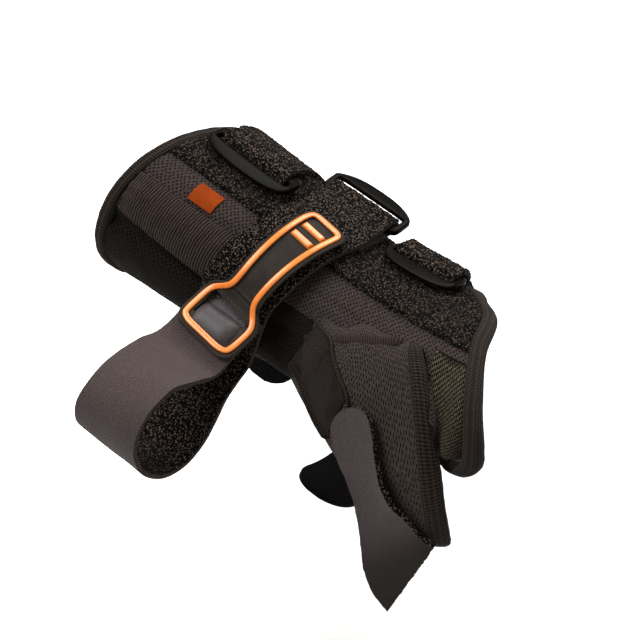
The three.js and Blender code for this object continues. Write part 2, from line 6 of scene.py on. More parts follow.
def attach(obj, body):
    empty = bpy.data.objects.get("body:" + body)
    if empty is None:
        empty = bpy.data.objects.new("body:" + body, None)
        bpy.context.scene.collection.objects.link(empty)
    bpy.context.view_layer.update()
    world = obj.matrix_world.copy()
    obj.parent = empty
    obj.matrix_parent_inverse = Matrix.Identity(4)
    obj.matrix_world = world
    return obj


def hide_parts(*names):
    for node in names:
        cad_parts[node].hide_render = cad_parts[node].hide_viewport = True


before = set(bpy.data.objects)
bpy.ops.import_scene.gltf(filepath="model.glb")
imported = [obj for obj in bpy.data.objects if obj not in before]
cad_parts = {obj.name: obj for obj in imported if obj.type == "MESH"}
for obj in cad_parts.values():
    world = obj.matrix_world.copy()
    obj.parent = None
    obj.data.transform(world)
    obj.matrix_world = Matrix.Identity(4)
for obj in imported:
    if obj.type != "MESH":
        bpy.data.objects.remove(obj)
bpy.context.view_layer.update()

# Thumb spica splint for a left hand, held as it is worn. The tables and helpers work in millimetres,
# +X towards the hand, +Z up, with the middle of the wrist at the origin, as the frame has it.
MM = 0.001

# Sleeve sections: x, centre y, centre z, half width, half thickness
SLEEVE = [
    (-95, 0, 0, 44, 34.5), (-50, 0, 0, 41.5, 33), (0, 0, 0, 37, 30),
    (35, 1, 3, 39, 29), (70, 3, 9, 43, 28), (110, 6, 18, 44, 26),
]
# Its flat cut: length, girth
SLEEVE_CUT = (165, 246)
# Its sections are rolled, thumb side up, and are squarer than an ellipse, whose power is 2
ROLL = math.radians(26)
SQUARENESS = 2.2
WALL = 3.0
# Hand rim: angle round the arm (0 back of the hand, 90 thumb side), x of the rim
HAND_RIM = [
    (-90, 48), (-35, 48), (-20, 56), (-5, 67.5), (22, 76.8),
    (54, 91), (85, 101), (115, 102), (180, 74), (270, 48),
]
FOREARM_RIM = {"x": -84, "slant": 7.2, "turn": 6}
BINDING_WIDE = 8.0
FOREARM_BINDING_WIDE = 5.5
# Thumb sheath sections: key, top x y z, bottom x y z, near depth, far depth
THUMB = [
    (0, 5, -17, 26, 2, -31, -6, 10, 9), (1, 21, -21, 29, 24, -39, -9, 16, 12),
    (2, 32, -18, 34, 44, -44, -19, 20, 12), (3, 42, -17, 36.5, 69, -47, -26, 22, 12),
    (4, 50, -15, 38, 91, -47, -22, 22, 12), (5, 55, -12, 39, 100, -46, -20, 22, 12),
]
# The sheath is deepest along SIGHT, and its rim is at the key SHEATH_RIM
SIGHT = Vector((0.5, -0.43, 0.8))
SHEATH_WALL = 2.4
SHEATH_RIM = 4
# How far below the sleeve's face the sheath starts
SHEATH_SINK = -1.2
# Gauze over the web of the thumb: angle, x of its near edge
GAUZE = [(36, 59.3), (50, 65.6), (66, 73.4), (84, 79.4), (104, 82.7)]
GAUZE_ROUND = (36.5, 110)


def lerp(a, b, t):
    return a + (b - a) * t


def column(table, at, col):
    """Smooth value of one column of a table at a key."""
    last = len(table) - 1
    i = 0
    while i < last - 1 and at > table[i + 1][0]:
        i += 1

    def slope(k):
        a, b = table[max(k - 1, 0)], table[min(k + 1, last)]
        return (b[col] - a[col]) / (b[0] - a[0])

    span = table[i + 1][0] - table[i][0]
    t = (at - table[i][0]) / span
    rise = 3 * t * t - 2 * t ** 3
    return (lerp(table[i][col], table[i + 1][col], rise)
            + (t ** 3 - 2 * t * t + t) * span * slope(i) + (t ** 3 - t * t) * span * slope(i + 1))


def sleeve(x, around, off=0.0):
    """A point on the sleeve, by place along the arm, angle round it and distance off it."""
    s, c = math.sin(math.radians(around)), math.cos(math.radians(around))
    k = (abs(s) ** SQUARENESS + abs(c) ** SQUARENESS) ** (-1 / SQUARENESS)
    side = (column(SLEEVE, x, 3) + off) * s * k
    up = (column(SLEEVE, x, 4) + off) * c * k
    return Vector((x, column(SLEEVE, x, 1) - side * math.cos(ROLL) + up * math.sin(ROLL),
                   column(SLEEVE, x, 2) + side * math.sin(ROLL) + up * math.cos(ROLL)))


def sleeve_up(x, around):
    along = sleeve(x + 0.5, around) - sleeve(x - 0.5, around)
    turn = sleeve(x, around + 0.5) - sleeve(x, around - 0.5)
    return turn.cross(along).normalized()


def hand_rim(around):
    return column(HAND_RIM, (around + 90) % 360 - 90, 1)


def forearm_rim(around):
    return FOREARM_RIM["x"] - FOREARM_RIM["slant"] * math.sin(math.radians(around - FOREARM_RIM["turn"]))


def gauze_edge(around):
    return column(GAUZE, around, 1)


def thumb_point(key, around, inset=0.0):
    """A point on the thumb sheath, by section and angle round it."""
    top, bottom = (Vector([column(THUMB, key, c) for c in cols]) for cols in ((1, 2, 3), (4, 5, 6)))
    middle = (top + bottom) / 2
    high = top - middle
    deep = (SIGHT - high * (SIGHT.dot(high) / high.length_squared)).normalized()
    depth = column(THUMB, key, 7 if around % 360 < 180 else 8) - inset
    return (middle + high.normalized() * math.cos(math.radians(around)) * (high.length - inset)
            + deep * math.sin(math.radians(around)) * depth)


# Lines that straps and seams follow
LINE_STEPS = 14


def run_through(points):
    """Dense points on a smooth line through the given ones, and how far along each given one is."""
    pts = [2 * points[0] - points[1]] + list(points) + [2 * points[-1] - points[-2]]
    dense, marks, run = [points[0].copy()], [0.0], 0.0
    for p0, p1, p2, p3 in zip(pts, pts[1:], pts[2:], pts[3:]):
        k0 = 0.0
        k1 = k0 + max((p1 - p0).length, 1e-4) ** 0.5
        k2 = k1 + max((p2 - p1).length, 1e-4) ** 0.5
        k3 = k2 + max((p3 - p2).length, 1e-4) ** 0.5
        for n in range(1, LINE_STEPS + 1):
            k = lerp(k1, k2, n / LINE_STEPS)
            a1 = p0.lerp(p1, (k - k0) / (k1 - k0))
            a2 = p1.lerp(p2, (k - k1) / (k2 - k1))
            a3 = p2.lerp(p3, (k - k2) / (k3 - k2))
            b1 = a1.lerp(a2, (k - k0) / (k2 - k0))
            b2 = a2.lerp(a3, (k - k1) / (k3 - k1))
            p = b1.lerp(b2, (k - k1) / (k2 - k1))
            run += (p - dense[-1]).length
            dense.append(p)
        marks.append(run)
    return dense, marks


class Line:
    """A smooth line that is read by distance along it."""

    def __init__(self, points):
        self.dense, self.marks = run_through(points)
        self.runs = [0.0]
        for a, b in zip(self.dense, self.dense[1:]):
            self.runs.append(self.runs[-1] + (b - a).length)
        self.long = self.runs[-1]

    def at(self, run):
        run = min(max(run, 0.0), self.long)
        low, high = 0, len(self.runs) - 1
        while high - low > 1:
            mid = (low + high) // 2
            low, high = (mid, high) if self.runs[mid] <= run else (low, mid)
        span = self.runs[high] - self.runs[low]
        return self.dense[low].lerp(self.dense[high], (run - self.runs[low]) / span if span else 0.0)

    def way(self, run):
        return (self.at(run + 0.4) - self.at(run - 0.4)).normalized()

    def value(self, run, values):
        """A value given at each of the line's points, between them."""
        k = 0
        while k < len(self.marks) - 2 and run > self.marks[k + 1]:
            k += 1
        t = (run - self.marks[k]) / (self.marks[k + 1] - self.marks[k])
        t = min(max(t, 0.0), 1.0)
        a, b = values[k], values[k + 1]
        return a.lerp(b, t) if isinstance(a, Vector) else lerp(a, b, t)


# Materials
def hex_colour(code):
    """An sRGB hex colour as the linear one that the shader takes."""
    parts = [int(code[i:i + 2], 16) / 255 for i in (0, 2, 4)]
    return [p / 12.92 if p <= 0.04045 else ((p + 0.055) / 1.055) ** 2.4 for p in parts] + [1.0]


def add_node(tree, kind, links, stops=(), **settings):
    """Adds a node with its settings, its inputs set or linked, and a colour ramp's stops."""
    made = tree.nodes.new(kind)
    for key, value in settings.items():
        setattr(made, key, value)
    for key, value in links.items():
        if isinstance(value, bpy.types.NodeSocket):
            tree.links.new(value, made.inputs[key])
        else:
            made.inputs[key].default_value = value
    for n, (place, code) in enumerate(stops):
        stop = made.color_ramp.elements[n] if n < 2 else made.color_ramp.elements.new(place)
        stop.position, stop.color = place, hex_colour(code)
    return made


def new_material(name, roughness, sheen=0.0, specular=0.01):
    """A plain material. Black cloth hardly mirrors any light, so its specular level is near nought."""
    material = bpy.data.materials.new(name)
    material.use_nodes = True
    tree = material.node_tree
    shader = tree.nodes["Principled BSDF"]
    shader.inputs["Roughness"].default_value = roughness
    shader.inputs["IOR"].default_value = 1.5
    shader.inputs["Specular IOR Level"].default_value = specular
    shader.inputs["Sheen Weight"].default_value = sheen
    shader.inputs["Sheen Roughness"].default_value = 0.5
    return material, tree, shader


def show(tree, shader, colour, height, deep_mm):
    """Gives a material its colour and its fine relief."""
    tree.links.new(colour, shader.inputs["Base Color"])
    bump = add_node(tree, "ShaderNodeBump", {"Height": height, "Distance": deep_mm * MM, "Strength": 1.0})
    tree.links.new(bump.outputs["Normal"], shader.inputs["Normal"])


def threads(tree, along_mm, across_mm, turn=0.0):
    """The cloth's own coordinates, from its UV map in metres, so that one unit is one thread repeat."""
    uv = add_node(tree, "ShaderNodeUVMap", {}, uv_map="flat_cut")
    return add_node(tree, "ShaderNodeMapping", {
        "Vector": uv.outputs["UV"], "Rotation": (0, 0, math.radians(turn)),
        "Scale": (1 / (along_mm * MM), 1 / (across_mm * MM), 1)}).outputs["Vector"]


def wave(tree, count):
    """A smooth wave with one turn for each thread."""
    angle = add_node(tree, "ShaderNodeMath", {0: count, 1: 2 * math.pi}, operation="MULTIPLY")
    return add_node(tree, "ShaderNodeMath", {0: angle.outputs[0]}, operation="SINE").outputs[0]


def speckle(tree, size_mm, detail=3.0):
    """Noise in the object's own space, by grain size."""
    place = add_node(tree, "ShaderNodeTexCoord", {})
    made = add_node(tree, "ShaderNodeTexNoise", {
        "Vector": place.outputs["Object"], "Scale": 1 / (size_mm * MM), "Detail": detail, "Roughness": 0.6})
    return made.outputs["Fac"]


def perforated_laminate(name, ground, light, hole):
    """Polyester face cloth on foam, pricked with small holes about 1.5 mm apart: matt and dotted."""
    material, tree, shader = new_material(name, 0.85, sheen=0.02)
    dots = add_node(tree, "ShaderNodeTexVoronoi", {
        "Vector": threads(tree, 1.45, 1.65, 45), "Scale": 1.0, "Randomness": 0.32}, voronoi_dimensions="2D")
    rim = add_node(tree, "ShaderNodeMapRange", {
        "Value": dots.outputs["Distance"], "From Min": 0.13, "From Max": 0.36},
        interpolation_type="SMOOTHSTEP")
    cloth = add_node(tree, "ShaderNodeValToRGB", {"Fac": speckle(tree, 0.55)},
                     stops=((0.3, ground), (0.72, light)))
    broad = add_node(tree, "ShaderNodeMath", {0: speckle(tree, 26, 2.0), 1: 0.35}, operation="MULTIPLY")
    tone_change = add_node(tree, "ShaderNodeMix", {
        "Factor": broad.outputs[0], "A": cloth.outputs["Color"], "B": hex_colour(light)}, data_type="RGBA")
    pricked = add_node(tree, "ShaderNodeMix", {
        "Factor": rim.outputs["Result"], "A": hex_colour(hole), "B": tone_change.outputs["Result"]},
        data_type="RGBA")
    height = add_node(tree, "ShaderNodeMath", {
        0: speckle(tree, 0.5), 1: 0.5, 2: rim.outputs["Result"]}, operation="MULTIPLY_ADD")
    show(tree, shader, pricked.outputs["Result"], height.outputs[0], 0.35)
    return material


def loop_pile(name, dark, light, curl_mm):
    """Brushed loop pile: curled loops about 1 mm apart, black between them with bright crests."""
    material, tree, shader = new_material(name, 0.9, sheen=0.03)
    place = add_node(tree, "ShaderNodeTexCoord", {})
    drift = add_node(tree, "ShaderNodeTexNoise", {
        "Vector": place.outputs["Object"], "Scale": 1 / (1.4 * MM), "Detail": 2.0})
    bent = add_node(tree, "ShaderNodeMix", {
        "Factor": 0.0009, "A": place.outputs["Object"], "B": drift.outputs["Color"]}, data_type="VECTOR")
    curls = add_node(tree, "ShaderNodeTexVoronoi", {
        "Vector": bent.outputs["Result"], "Scale": 1 / (curl_mm * MM)}, feature="F1")
    raised = add_node(tree, "ShaderNodeMath", {0: speckle(tree, 0.28, 2.0), 1: 0.25}, operation="ADD")
    height = add_node(tree, "ShaderNodeMath", {
        0: raised.outputs[0], 1: curls.outputs["Distance"]}, operation="SUBTRACT")
    colour = add_node(tree, "ShaderNodeValToRGB", {"Fac": height.outputs[0]},
                      stops=((0.1, dark), (0.37, "0c0907"), (0.54, light)))
    show(tree, shader, colour.outputs["Color"], height.outputs[0], 0.7)
    return material


def ribbed_tape(name, rib_mm, cross_mm, groove, crest, deep_mm, turn=0.0, even=False):
    """Woven tape with ribs across it: rows of floats catch the light, the grooves between stay dark."""
    material, tree, shader = new_material(name, 0.72, sheen=0.03)
    grid = add_node(tree, "ShaderNodeSeparateXYZ", {"Vector": threads(tree, cross_mm, rib_mm, turn)})
    wobbled = add_node(tree, "ShaderNodeMath", {
        0: speckle(tree, 2.2, 1.0), 1: 0.7, 2: grid.outputs["Y"]}, operation="MULTIPLY_ADD")
    height = 0.0
    for part, share in ((wave(tree, wobbled.outputs[0]), 0.5),
                        (wave(tree, grid.outputs["X"]), 0.5 if even else 0.32),
                        (speckle(tree, 0.35), 0.5)):
        height = add_node(tree, "ShaderNodeMath", {0: part, 1: share, 2: height},
                          operation="MULTIPLY_ADD").outputs[0]
    level = add_node(tree, "ShaderNodeMath", {0: height, 1: 0.55, 2: 0.35},
                     operation="MULTIPLY_ADD", use_clamp=True)
    colour = add_node(tree, "ShaderNodeValToRGB", {"Fac": level.outputs[0]},
                      stops=((0.15, groove), (0.85, crest)))
    show(tree, shader, colour.outputs["Color"], height, deep_mm)
    return material


def knitted_elastic(name, ground, light, sheen=0.06, dark_mm=None, roughness=0.7, specular=0.01):
    """Smooth knitted elastic with a soft bloom at grazing light.

    Its wales run on a slant, 0.75 mm apart, coarser than real ones so that they show. Between the two
    distances of dark_mm along the cloth it turns dark brown."""
    material, tree, shader = new_material(name, roughness, sheen=sheen, specular=specular)
    grid = add_node(tree, "ShaderNodeSeparateXYZ", {"Vector": threads(tree, 0.75, 1.0, 28)})
    knit = add_node(tree, "ShaderNodeMath", {
        0: wave(tree, grid.outputs["X"]), 1: wave(tree, grid.outputs["Y"])}, operation="MULTIPLY")
    grain = add_node(tree, "ShaderNodeMath", {
        0: knit.outputs[0], 1: 0.2, 2: speckle(tree, 0.45)}, operation="MULTIPLY_ADD").outputs[0]
    colour = add_node(tree, "ShaderNodeValToRGB", {"Fac": grain},
                      stops=((0.3, ground), (0.72, light))).outputs["Color"]
    if dark_mm:
        flat = add_node(tree, "ShaderNodeSeparateXYZ", {"Vector": threads(tree, 1, 1)})
        # The colour turns darker brown over this stretch along the cloth
        tone_change = add_node(tree, "ShaderNodeMapRange", {
            "Value": flat.outputs["Y"], "From Min": dark_mm[0], "From Max": dark_mm[1]},
            interpolation_type="SMOOTHSTEP")
        colour = add_node(tree, "ShaderNodeMix", {
            "Factor": tone_change.outputs["Result"], "A": colour, "B": hex_colour("1d1814")},
            data_type="RGBA").outputs["Result"]
    show(tree, shader, colour, grain, 0.12)
    return material


def open_gauze(name, hole, thread):
    """Warp-knitted mesh: rounded holes about 1.5 mm apart between shiny filament threads."""
    material, tree, shader = new_material(name, 0.55, sheen=0.03)
    cells = add_node(tree, "ShaderNodeTexVoronoi", {
        "Vector": threads(tree, 1.25, 1.9, 30), "Scale": 1.0, "Randomness": 0.18}, voronoi_dimensions="2D")
    rim = add_node(tree, "ShaderNodeMapRange", {
        "Value": cells.outputs["Distance"], "From Min": 0.26, "From Max": 0.46},
        interpolation_type="SMOOTHSTEP")
    shine = add_node(tree, "ShaderNodeValToRGB", {"Fac": speckle(tree, 0.5)},
                     stops=((0.35, "26211b"), (0.75, thread)))
    knit = add_node(tree, "ShaderNodeMix", {
        "Factor": rim.outputs["Result"], "A": hex_colour(hole), "B": shine.outputs["Color"]},
        data_type="RGBA")
    show(tree, shader, knit.outputs["Result"], rim.outputs["Result"], 0.5)
    return material


def moulded(name, colour, grain_colour, roughness, grain_mm=0.4, deep_mm=0.02, coat=0.0, specular=0.35):
    """Injection-moulded plastic or rubber: even colour with a fine spark-eroded grain."""
    material, tree, shader = new_material(name, roughness, specular=specular)
    shader.inputs["Coat Weight"].default_value = coat
    shader.inputs["Coat Roughness"].default_value = 0.12
    tone = add_node(tree, "ShaderNodeValToRGB", {"Fac": speckle(tree, 9, 3.0)},
                    stops=((0.35, colour), (0.7, grain_colour)))
    show(tree, shader, tone.outputs["Color"], speckle(tree, grain_mm, 2.0), deep_mm)
    return material


LAMINATE = perforated_laminate("foam_laminate_perforated", "1f1a17", "393130", "0a0807")
LAMINATE_THUMB = perforated_laminate("foam_laminate_thumb", "231e1b", "3f3734", "070505")
# Darker laminate of the sleeve's side, also used as painted shade under the wrist strap
LAMINATE_SIDE_AND_SHADE = perforated_laminate("foam_laminate_side_and_shade", "0d0b09", "191512", "050403")
LINING = knitted_elastic("brushed_lining", "121110", "1c1a19", sheen=0.01)
PILE = loop_pile("loop_pile_black", "010101", "54463c", curl_mm=1.0)
PILE_STRAP = loop_pile("loop_pile_strap", "010101", "66564b", curl_mm=0.9)
WEBBING = ribbed_tape("stay_webbing", 0.9, 1.25, "020202", "40342e", deep_mm=0.55, turn=90)
BINDING = ribbed_tape("binding_tape", 1.0, 1.6, "0f0d0b", "2f2823", deep_mm=0.25)
POCKET = ribbed_tape("pocket_weave", 0.9, 0.95, "050403", "342b26", deep_mm=0.4, turn=90, even=True)
ELASTIC = knitted_elastic("strap_elastic", "292322", "4b4140")
ELASTIC_TAUT = knitted_elastic("strap_elastic_taut", "231e1f", "3f3739", sheen=0.05, roughness=0.45,
                               specular=0.3)
ELASTIC_DARKENING = knitted_elastic("strap_elastic_darkening", "2e2829", "4f4648", sheen=0.02,
                                    dark_mm=(40, 80))
WELT_TAPE = ribbed_tape("flat_welt", 1.1, 6.0, "14100e", "3a302b", deep_mm=0.4)
EDGE = ribbed_tape("strap_selvage", 1.0, 0.8, "191512", "3a332e", deep_mm=0.1)
HOOK = loop_pile("hook_tape", "020202", "0c0a09", curl_mm=0.6)
MESH = open_gauze("web_mesh", "030302", "554b3a")
RING = moulded("acetal_ring", "070605", "0c0a08", 0.34, deep_mm=0.008, specular=0.02)
RUBBER = moulded("tab_rubber", "211d1a", "2a2521", 0.62, grain_mm=0.5, deep_mm=0.04, specular=0.05)
TRIM = moulded("trim_rubber", "c86a20", "d27628", 0.38, grain_mm=0.5, deep_mm=0.02, coat=0.25)
LABEL = moulded("label_patch", "6a2806", "783008", 0.85, grain_mm=0.5, deep_mm=0.05, specular=0.05)
THREAD = knitted_elastic("sewing_thread", "2c2522", "4a413c")


# Making pieces
def only(piece):
    bpy.ops.object.select_all(action="DESELECT")
    piece.select_set(True)
    bpy.context.view_layer.objects.active = piece


def finish_with(piece, kind, **settings):
    """Adds a modifier and applies it."""
    only(piece)
    made = piece.modifiers.new(kind.lower(), kind)
    for key, value in settings.items():
        setattr(made, key, value)
    bpy.ops.object.modifier_apply(modifier=made.name)


def lay_out(name, steps, place, cut, flip=False, closed=False):
    """A flat grid as it was cut, carried to its place; its UV map keeps the flat cut in metres."""
    bpy.ops.object.select_all(action="DESELECT")
    bpy.ops.mesh.primitive_grid_add(x_subdivisions=steps[0], y_subdivisions=steps[1], size=1)
    piece = bpy.context.object
    piece.name = piece.data.name = name
    mesh = piece.data
    mesh.uv_layers.active.name = "flat_cut"
    shares = [(v.co.x + 0.5, v.co.y + 0.5) for v in mesh.vertices]
    for loop, uv in zip(mesh.loops, mesh.uv_layers.active.data):
        s, t = shares[loop.vertex_index]
        uv.uv = (s * cut[0] * MM, t * cut[1] * MM)
    for vertex, (s, t) in zip(mesh.vertices, shares):
        vertex.co = place(s, t) * MM
    if flip:
        mesh.flip_normals()
    if closed:
        only(piece)
        bpy.ops.object.mode_set(mode="EDIT")
        bpy.ops.mesh.select_all(action="SELECT")
        bpy.ops.mesh.remove_doubles(threshold=0.00001)
        bpy.ops.object.mode_set(mode="OBJECT")
    mesh.update()
    return piece


def dress(piece, finish=None):
    """Gives a piece its finish, smooth shading and the body that it rides on."""
    if finish:
        piece.data.materials.append(finish)
    only(piece)
    bpy.ops.object.shade_smooth_by_angle(angle=math.radians(50))
    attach(piece, "root")


def wall(piece, thick, offset, *finishes):
    """Gives a sheet its thickness; the inner side and the edge take the next finishes."""
    for finish in finishes:
        piece.data.materials.append(finish)
    finish_with(piece, "SOLIDIFY", thickness=thick * MM, offset=offset, use_even_offset=True,
                material_offset=min(1, len(finishes) - 1), material_offset_rim=min(2, len(finishes) - 1))


def round_edges(piece, wide, angle):
    """Rounds the edges that are sharper than an angle."""
    finish_with(piece, "BEVEL", width=wide * MM, segments=2, limit_method="ANGLE",
                angle_limit=math.radians(angle))


def fuzz(piece, amount, size, finish=None, seed=0.0):
    """Moves the points of one finish in and out, as pile and soft cloth lie uneven."""
    mesh = piece.data
    moved = set()
    for face in mesh.polygons:
        if finish is None or face.material_index == finish:
            moved.update(face.vertices)
    normals = {index: mesh.vertices[index].normal.copy() for index in moved}
    for index, normal in normals.items():
        vertex = mesh.vertices[index]
        at = vertex.co / (size * MM) + Vector((seed, seed, seed))
        vertex.co += normal * noise.noise(at) * amount * MM
    mesh.update()


def cut_away(piece, *cutters):
    for cutter in cutters:
        finish_with(piece, "BOOLEAN", operation="DIFFERENCE", object=cutter, solver="EXACT")


def drop(*pieces):
    for piece in pieces:
        bpy.data.objects.remove(piece, do_unlink=True)


def join_to(piece, *others):
    only(piece)
    for other in others:
        other.select_set(True)
    bpy.ops.object.join()


def tube(name, points, wide, high, up_at, steps, finish, taper=2.0):
    """A rounded seam, piping or welt along a line, with a UV map for its tape."""
    line = Line(points)

    def place(s, t):
        run = t * line.long
        way = line.way(run)
        up = up_at(line.at(run))
        side = way.cross(up).normalized()
        up = side.cross(way).normalized()
        turn = 2 * math.pi * s
        end = min(1.0, min(run, line.long - run) / taper + 0.15) ** 0.5
        return line.at(run) + (side * math.cos(turn) * wide / 2 + up * math.sin(turn) * high / 2) * end

    piece = lay_out(name, steps, place, (2 * wide, line.long), closed=True)
    face_outwards(piece)
    piece.data.materials.append(finish)
    return piece


def stitches(name, points, up_at, long=1.5, gap=0.9, thick=0.42):
    """A row of separate stitches: short rounded threads, each pulled down at its ends."""
    line = Line(points)
    made = []
    run = gap
    while run + long < line.long:
        down = up_at(line.at(run)) * 0.16
        ends = [line.at(run) - down, line.at(run + long * 0.35), line.at(run + long * 0.65),
                line.at(run + long) - down]
        made.append(tube(name, ends, thick, thick, up_at, (7, 7), THREAD, taper=0.3))
        run += long + gap
    join_to(*made)
    return made[0]


def face_outwards(piece):
    only(piece)
    bpy.ops.object.mode_set(mode="EDIT")
    bpy.ops.mesh.select_all(action="SELECT")
    bpy.ops.mesh.normals_make_consistent(inside=False)
    bpy.ops.object.mode_set(mode="OBJECT")


def filled_tube(name, steps, ring):
    """A filled tube, for cutting what meets it: its end rings are drawn in to their middles."""
    def place(s, t):
        share = min(max((s * steps[0] - 1) / (steps[0] - 2), 0.0), 1.0)
        if 0.0001 < s < 0.9999:
            return ring(share, t)
        return sum((ring(share, k / 12) for k in range(12)), Vector()) / 12

    piece = lay_out(name, steps, place, (1, 1), closed=True)
    face_outwards(piece)
    return piece


def sleeve_filled(off):
    return filled_tube("sleeve_filled", (30, 80), lambda s, t: sleeve(lerp(-94, 109, s), 360 * t, off))


# Sleeve
# The side's darker laminate runs from the pocket's lower edge round to SIDE_END. Between two places under
# the wrist strap it starts higher up, as painted shade where the strap shades the sleeve
SIDE_END = 308
SHADE_UNDER_STRAP = {"from": -8, "to": 13, "around": 66}
# The angle of the seam along the sleeve
SEAM_ROUND = 49.5
# Dents and swells of the sleeve: x, angle, reach along, reach round, height
SLEEVE_FOLDS = [
    (-45, 86, 70, 6, -3.4), (-20, 110, 60, 14, 1.6), (30, 34, 26, 6, -0.9), (-60, 40, 30, 5, 0.8),
    (8, 66, 12, 14, -1.2), (-70, -110, 22, 16, -1.5), (10, -150, 60, 18, -1.4), (55, -150, 20, 22, 1.6),
    (-30, 160, 50, 20, -1.3), (36, 170, 22, 12, 1.2),
]


def sleeve_fold(x, around):
    total = 0.0
    for fx, fa, rx, ra, high in SLEEVE_FOLDS:
        turn = (around - fa + 180) % 360 - 180
        total += high * math.exp(-((x - fx) / rx) ** 2 - (turn / ra) ** 2)
    seam = (around - SEAM_ROUND + 180) % 360 - 180
    total -= 0.7 * math.exp(-(seam / 1.3) ** 2)
    return total + 0.55 * noise.noise(Vector((x / 14, around / 12, 3.1)))


def make_sleeve():
    start = lambda around: forearm_rim(around) + FOREARM_BINDING_WIDE - 2
    end = lambda around: hand_rim(around) - BINDING_WIDE + 2

    def place(s, t):
        around = 360 * t
        x = lerp(start(around), end(around), s)
        return sleeve(x, around, sleeve_fold(x, around))

    def web_cutter(s, t):
        around = lerp(GAUZE[0][0], 140, t)
        return sleeve(lerp(gauze_edge(min(around, GAUZE[-1][0])), 125, s), around, 8)

    piece = lay_out("sleeve_laminate", (64, 130), place, SLEEVE_CUT, flip=True, closed=True)
    wall(piece, WALL, -1.0, LAMINATE, LINING)
    hole = filled_tube("hole", (12, 40), lambda s, t: thumb_point(lerp(0.6, 5, s), 360 * t, SHEATH_WALL))
    web = lay_out("web", (10, 20), web_cutter, (1, 1), flip=True)
    finish_with(web, "SOLIDIFY", thickness=19 * MM, offset=-1.0)
    face_outwards(web)
    cut_away(piece, hole, web)
    drop(hole, web)
    piece.data.materials.append(LAMINATE_SIDE_AND_SHADE)
    uv = piece.data.uv_layers.active.data
    for face in piece.data.polygons:
        x = face.center.x / MM
        around = 360 * uv[face.loop_start].uv.y / (SLEEVE_CUT[1] * MM)
        # Under the wrist strap the darker laminate is painted shade
        shaded = around > SHADE_UNDER_STRAP["around"] and SHADE_UNDER_STRAP["from"] < x < SHADE_UNDER_STRAP["to"]
        if face.material_index == 0 and (pocket_low(x) - 1 < around or shaded) and around < SIDE_END:
            face.material_index = 2
    dress(piece)
    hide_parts("sleeve_shell")
    return piece


def rim_binding(name, node, rim, wide, toward):
    """Tape folded over the sleeve's rim: a rounded, puckered band from the rim's line toward +x or -x."""
    outer, inner = 1.3, -WALL - 1.3

    def place(s, t):
        around = 360 * t
        turn = 2 * math.pi * s
        flat = lambda v: math.copysign(abs(v) ** 0.6, v)
        x = rim(around) + toward * (wide / 2) * (1 - flat(math.cos(turn)))
        off = lerp(inner, outer, (flat(math.sin(turn)) + 1) / 2)
        angle = math.radians(around)
        pucker = 0.25 * noise.noise(Vector((math.cos(angle) * 9, math.sin(angle) * 9, x / 6)))
        return sleeve(x, around, off + pucker)

    piece = lay_out(name, (22, 360), place, (2 * wide + 8, 250), closed=True)
    face_outwards(piece)
    dress(piece, BINDING)
    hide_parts(node)
    return piece


def on_sleeve_patch(name, steps, start, end, rounds, off, cut):
    """Cloth laid on the sleeve: start and end give its x at an angle, and rounds are its two angles."""
    def place(s, t):
        around = lerp(*rounds, t)
        x = lerp(start(around), end(around), s)
        return sleeve(x, around, off(s, t, x, around))

    return lay_out(name, steps, place, cut, flip=True)


# Loop panel: angles of its long edges, its size as it lies, its flat cut
PANEL_ROUND = (-64, 30.5)
PANEL_SIZE = (150, 62)
PANEL_CUT = (148, 63)


def make_loop_panel():
    def off(s, t, x, around):
        near = min(min(s, 1 - s) * PANEL_SIZE[0], min(t, 1 - t) * PANEL_SIZE[1])
        return sleeve_fold(x, around) + 0.35 + 1.3 * min(1.0, near / 1.5) ** 0.5

    start = lambda around: forearm_rim(around) + FOREARM_BINDING_WIDE - 0.5
    end = lambda around: hand_rim(around) - BINDING_WIDE + 0.5
    piece = on_sleeve_patch("loop_pile_panel", (260, 112), start, end, PANEL_ROUND, off, PANEL_CUT)
    fuzz(piece, 0.75, 0.9)
    fuzz(piece, 0.4, 2.6, seed=5)
    wall(piece, 0.8, -1.0, PILE)
    dress(piece)
    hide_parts("loop_panel")
    return piece


# Stay pocket: x of its ends, angle of its top edge, and of its lower edge at either end
STAY_POCKET = {"from": -83.5, "to": -6, "top": 50, "low_from": 77.5, "low_to": 89}


def pocket_low(x):
    """The angle of the pocket's lower edge, which runs out as it nears the wrist."""
    share = (x - STAY_POCKET["from"]) / (STAY_POCKET["to"] - STAY_POCKET["from"])
    return lerp(STAY_POCKET["low_from"], STAY_POCKET["low_to"], min(max(share, 0), 1))


def make_stay_pocket():
    def off(s, t, x, around):
        hump = 2.7 * math.sin(math.pi * t) ** 0.7
        ease = min(1.0, min(s, 1 - s) * 14)
        pucker = 0.35 * noise.noise(Vector((x / 4, around / 9, 7)))
        pleat = 0.5 * math.sin(22 * t) * math.exp(-14 * s)
        return 0.5 + 0.9 * ease + hump * (0.5 + 0.5 * ease) + pucker + pleat

    def place(s, t):
        x = lerp(STAY_POCKET["from"], STAY_POCKET["to"], s)
        around = lerp(STAY_POCKET["top"], pocket_low(x), t)
        return sleeve(x, around, off(s, t, x, around))

    piece = lay_out("stay_pocket_webbing", (110, 44), place, (77, 26), flip=True)
    wall(piece, 0.9, -1.0, WEBBING)
    dress(piece)
    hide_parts("stay_pocket")
    return piece


# Label: x of its ends, angles of its edges
LABEL_PLACE = {"from": -60.5, "to": -48.5, "round": (34.5, 47.5)}


def make_label():
    start = lambda around: LABEL_PLACE["from"]
    end = lambda around: LABEL_PLACE["to"]
    off = lambda s, t, x, around: sleeve_fold(x, around) + 0.7
    piece = on_sleeve_patch("label_patch", (14, 14), start, end, LABEL_PLACE["round"], off, (12, 10))
    wall(piece, 0.5, -1.0, LABEL)
    round_edges(piece, 0.15, 30)
    dress(piece)
    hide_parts("label")
    return piece


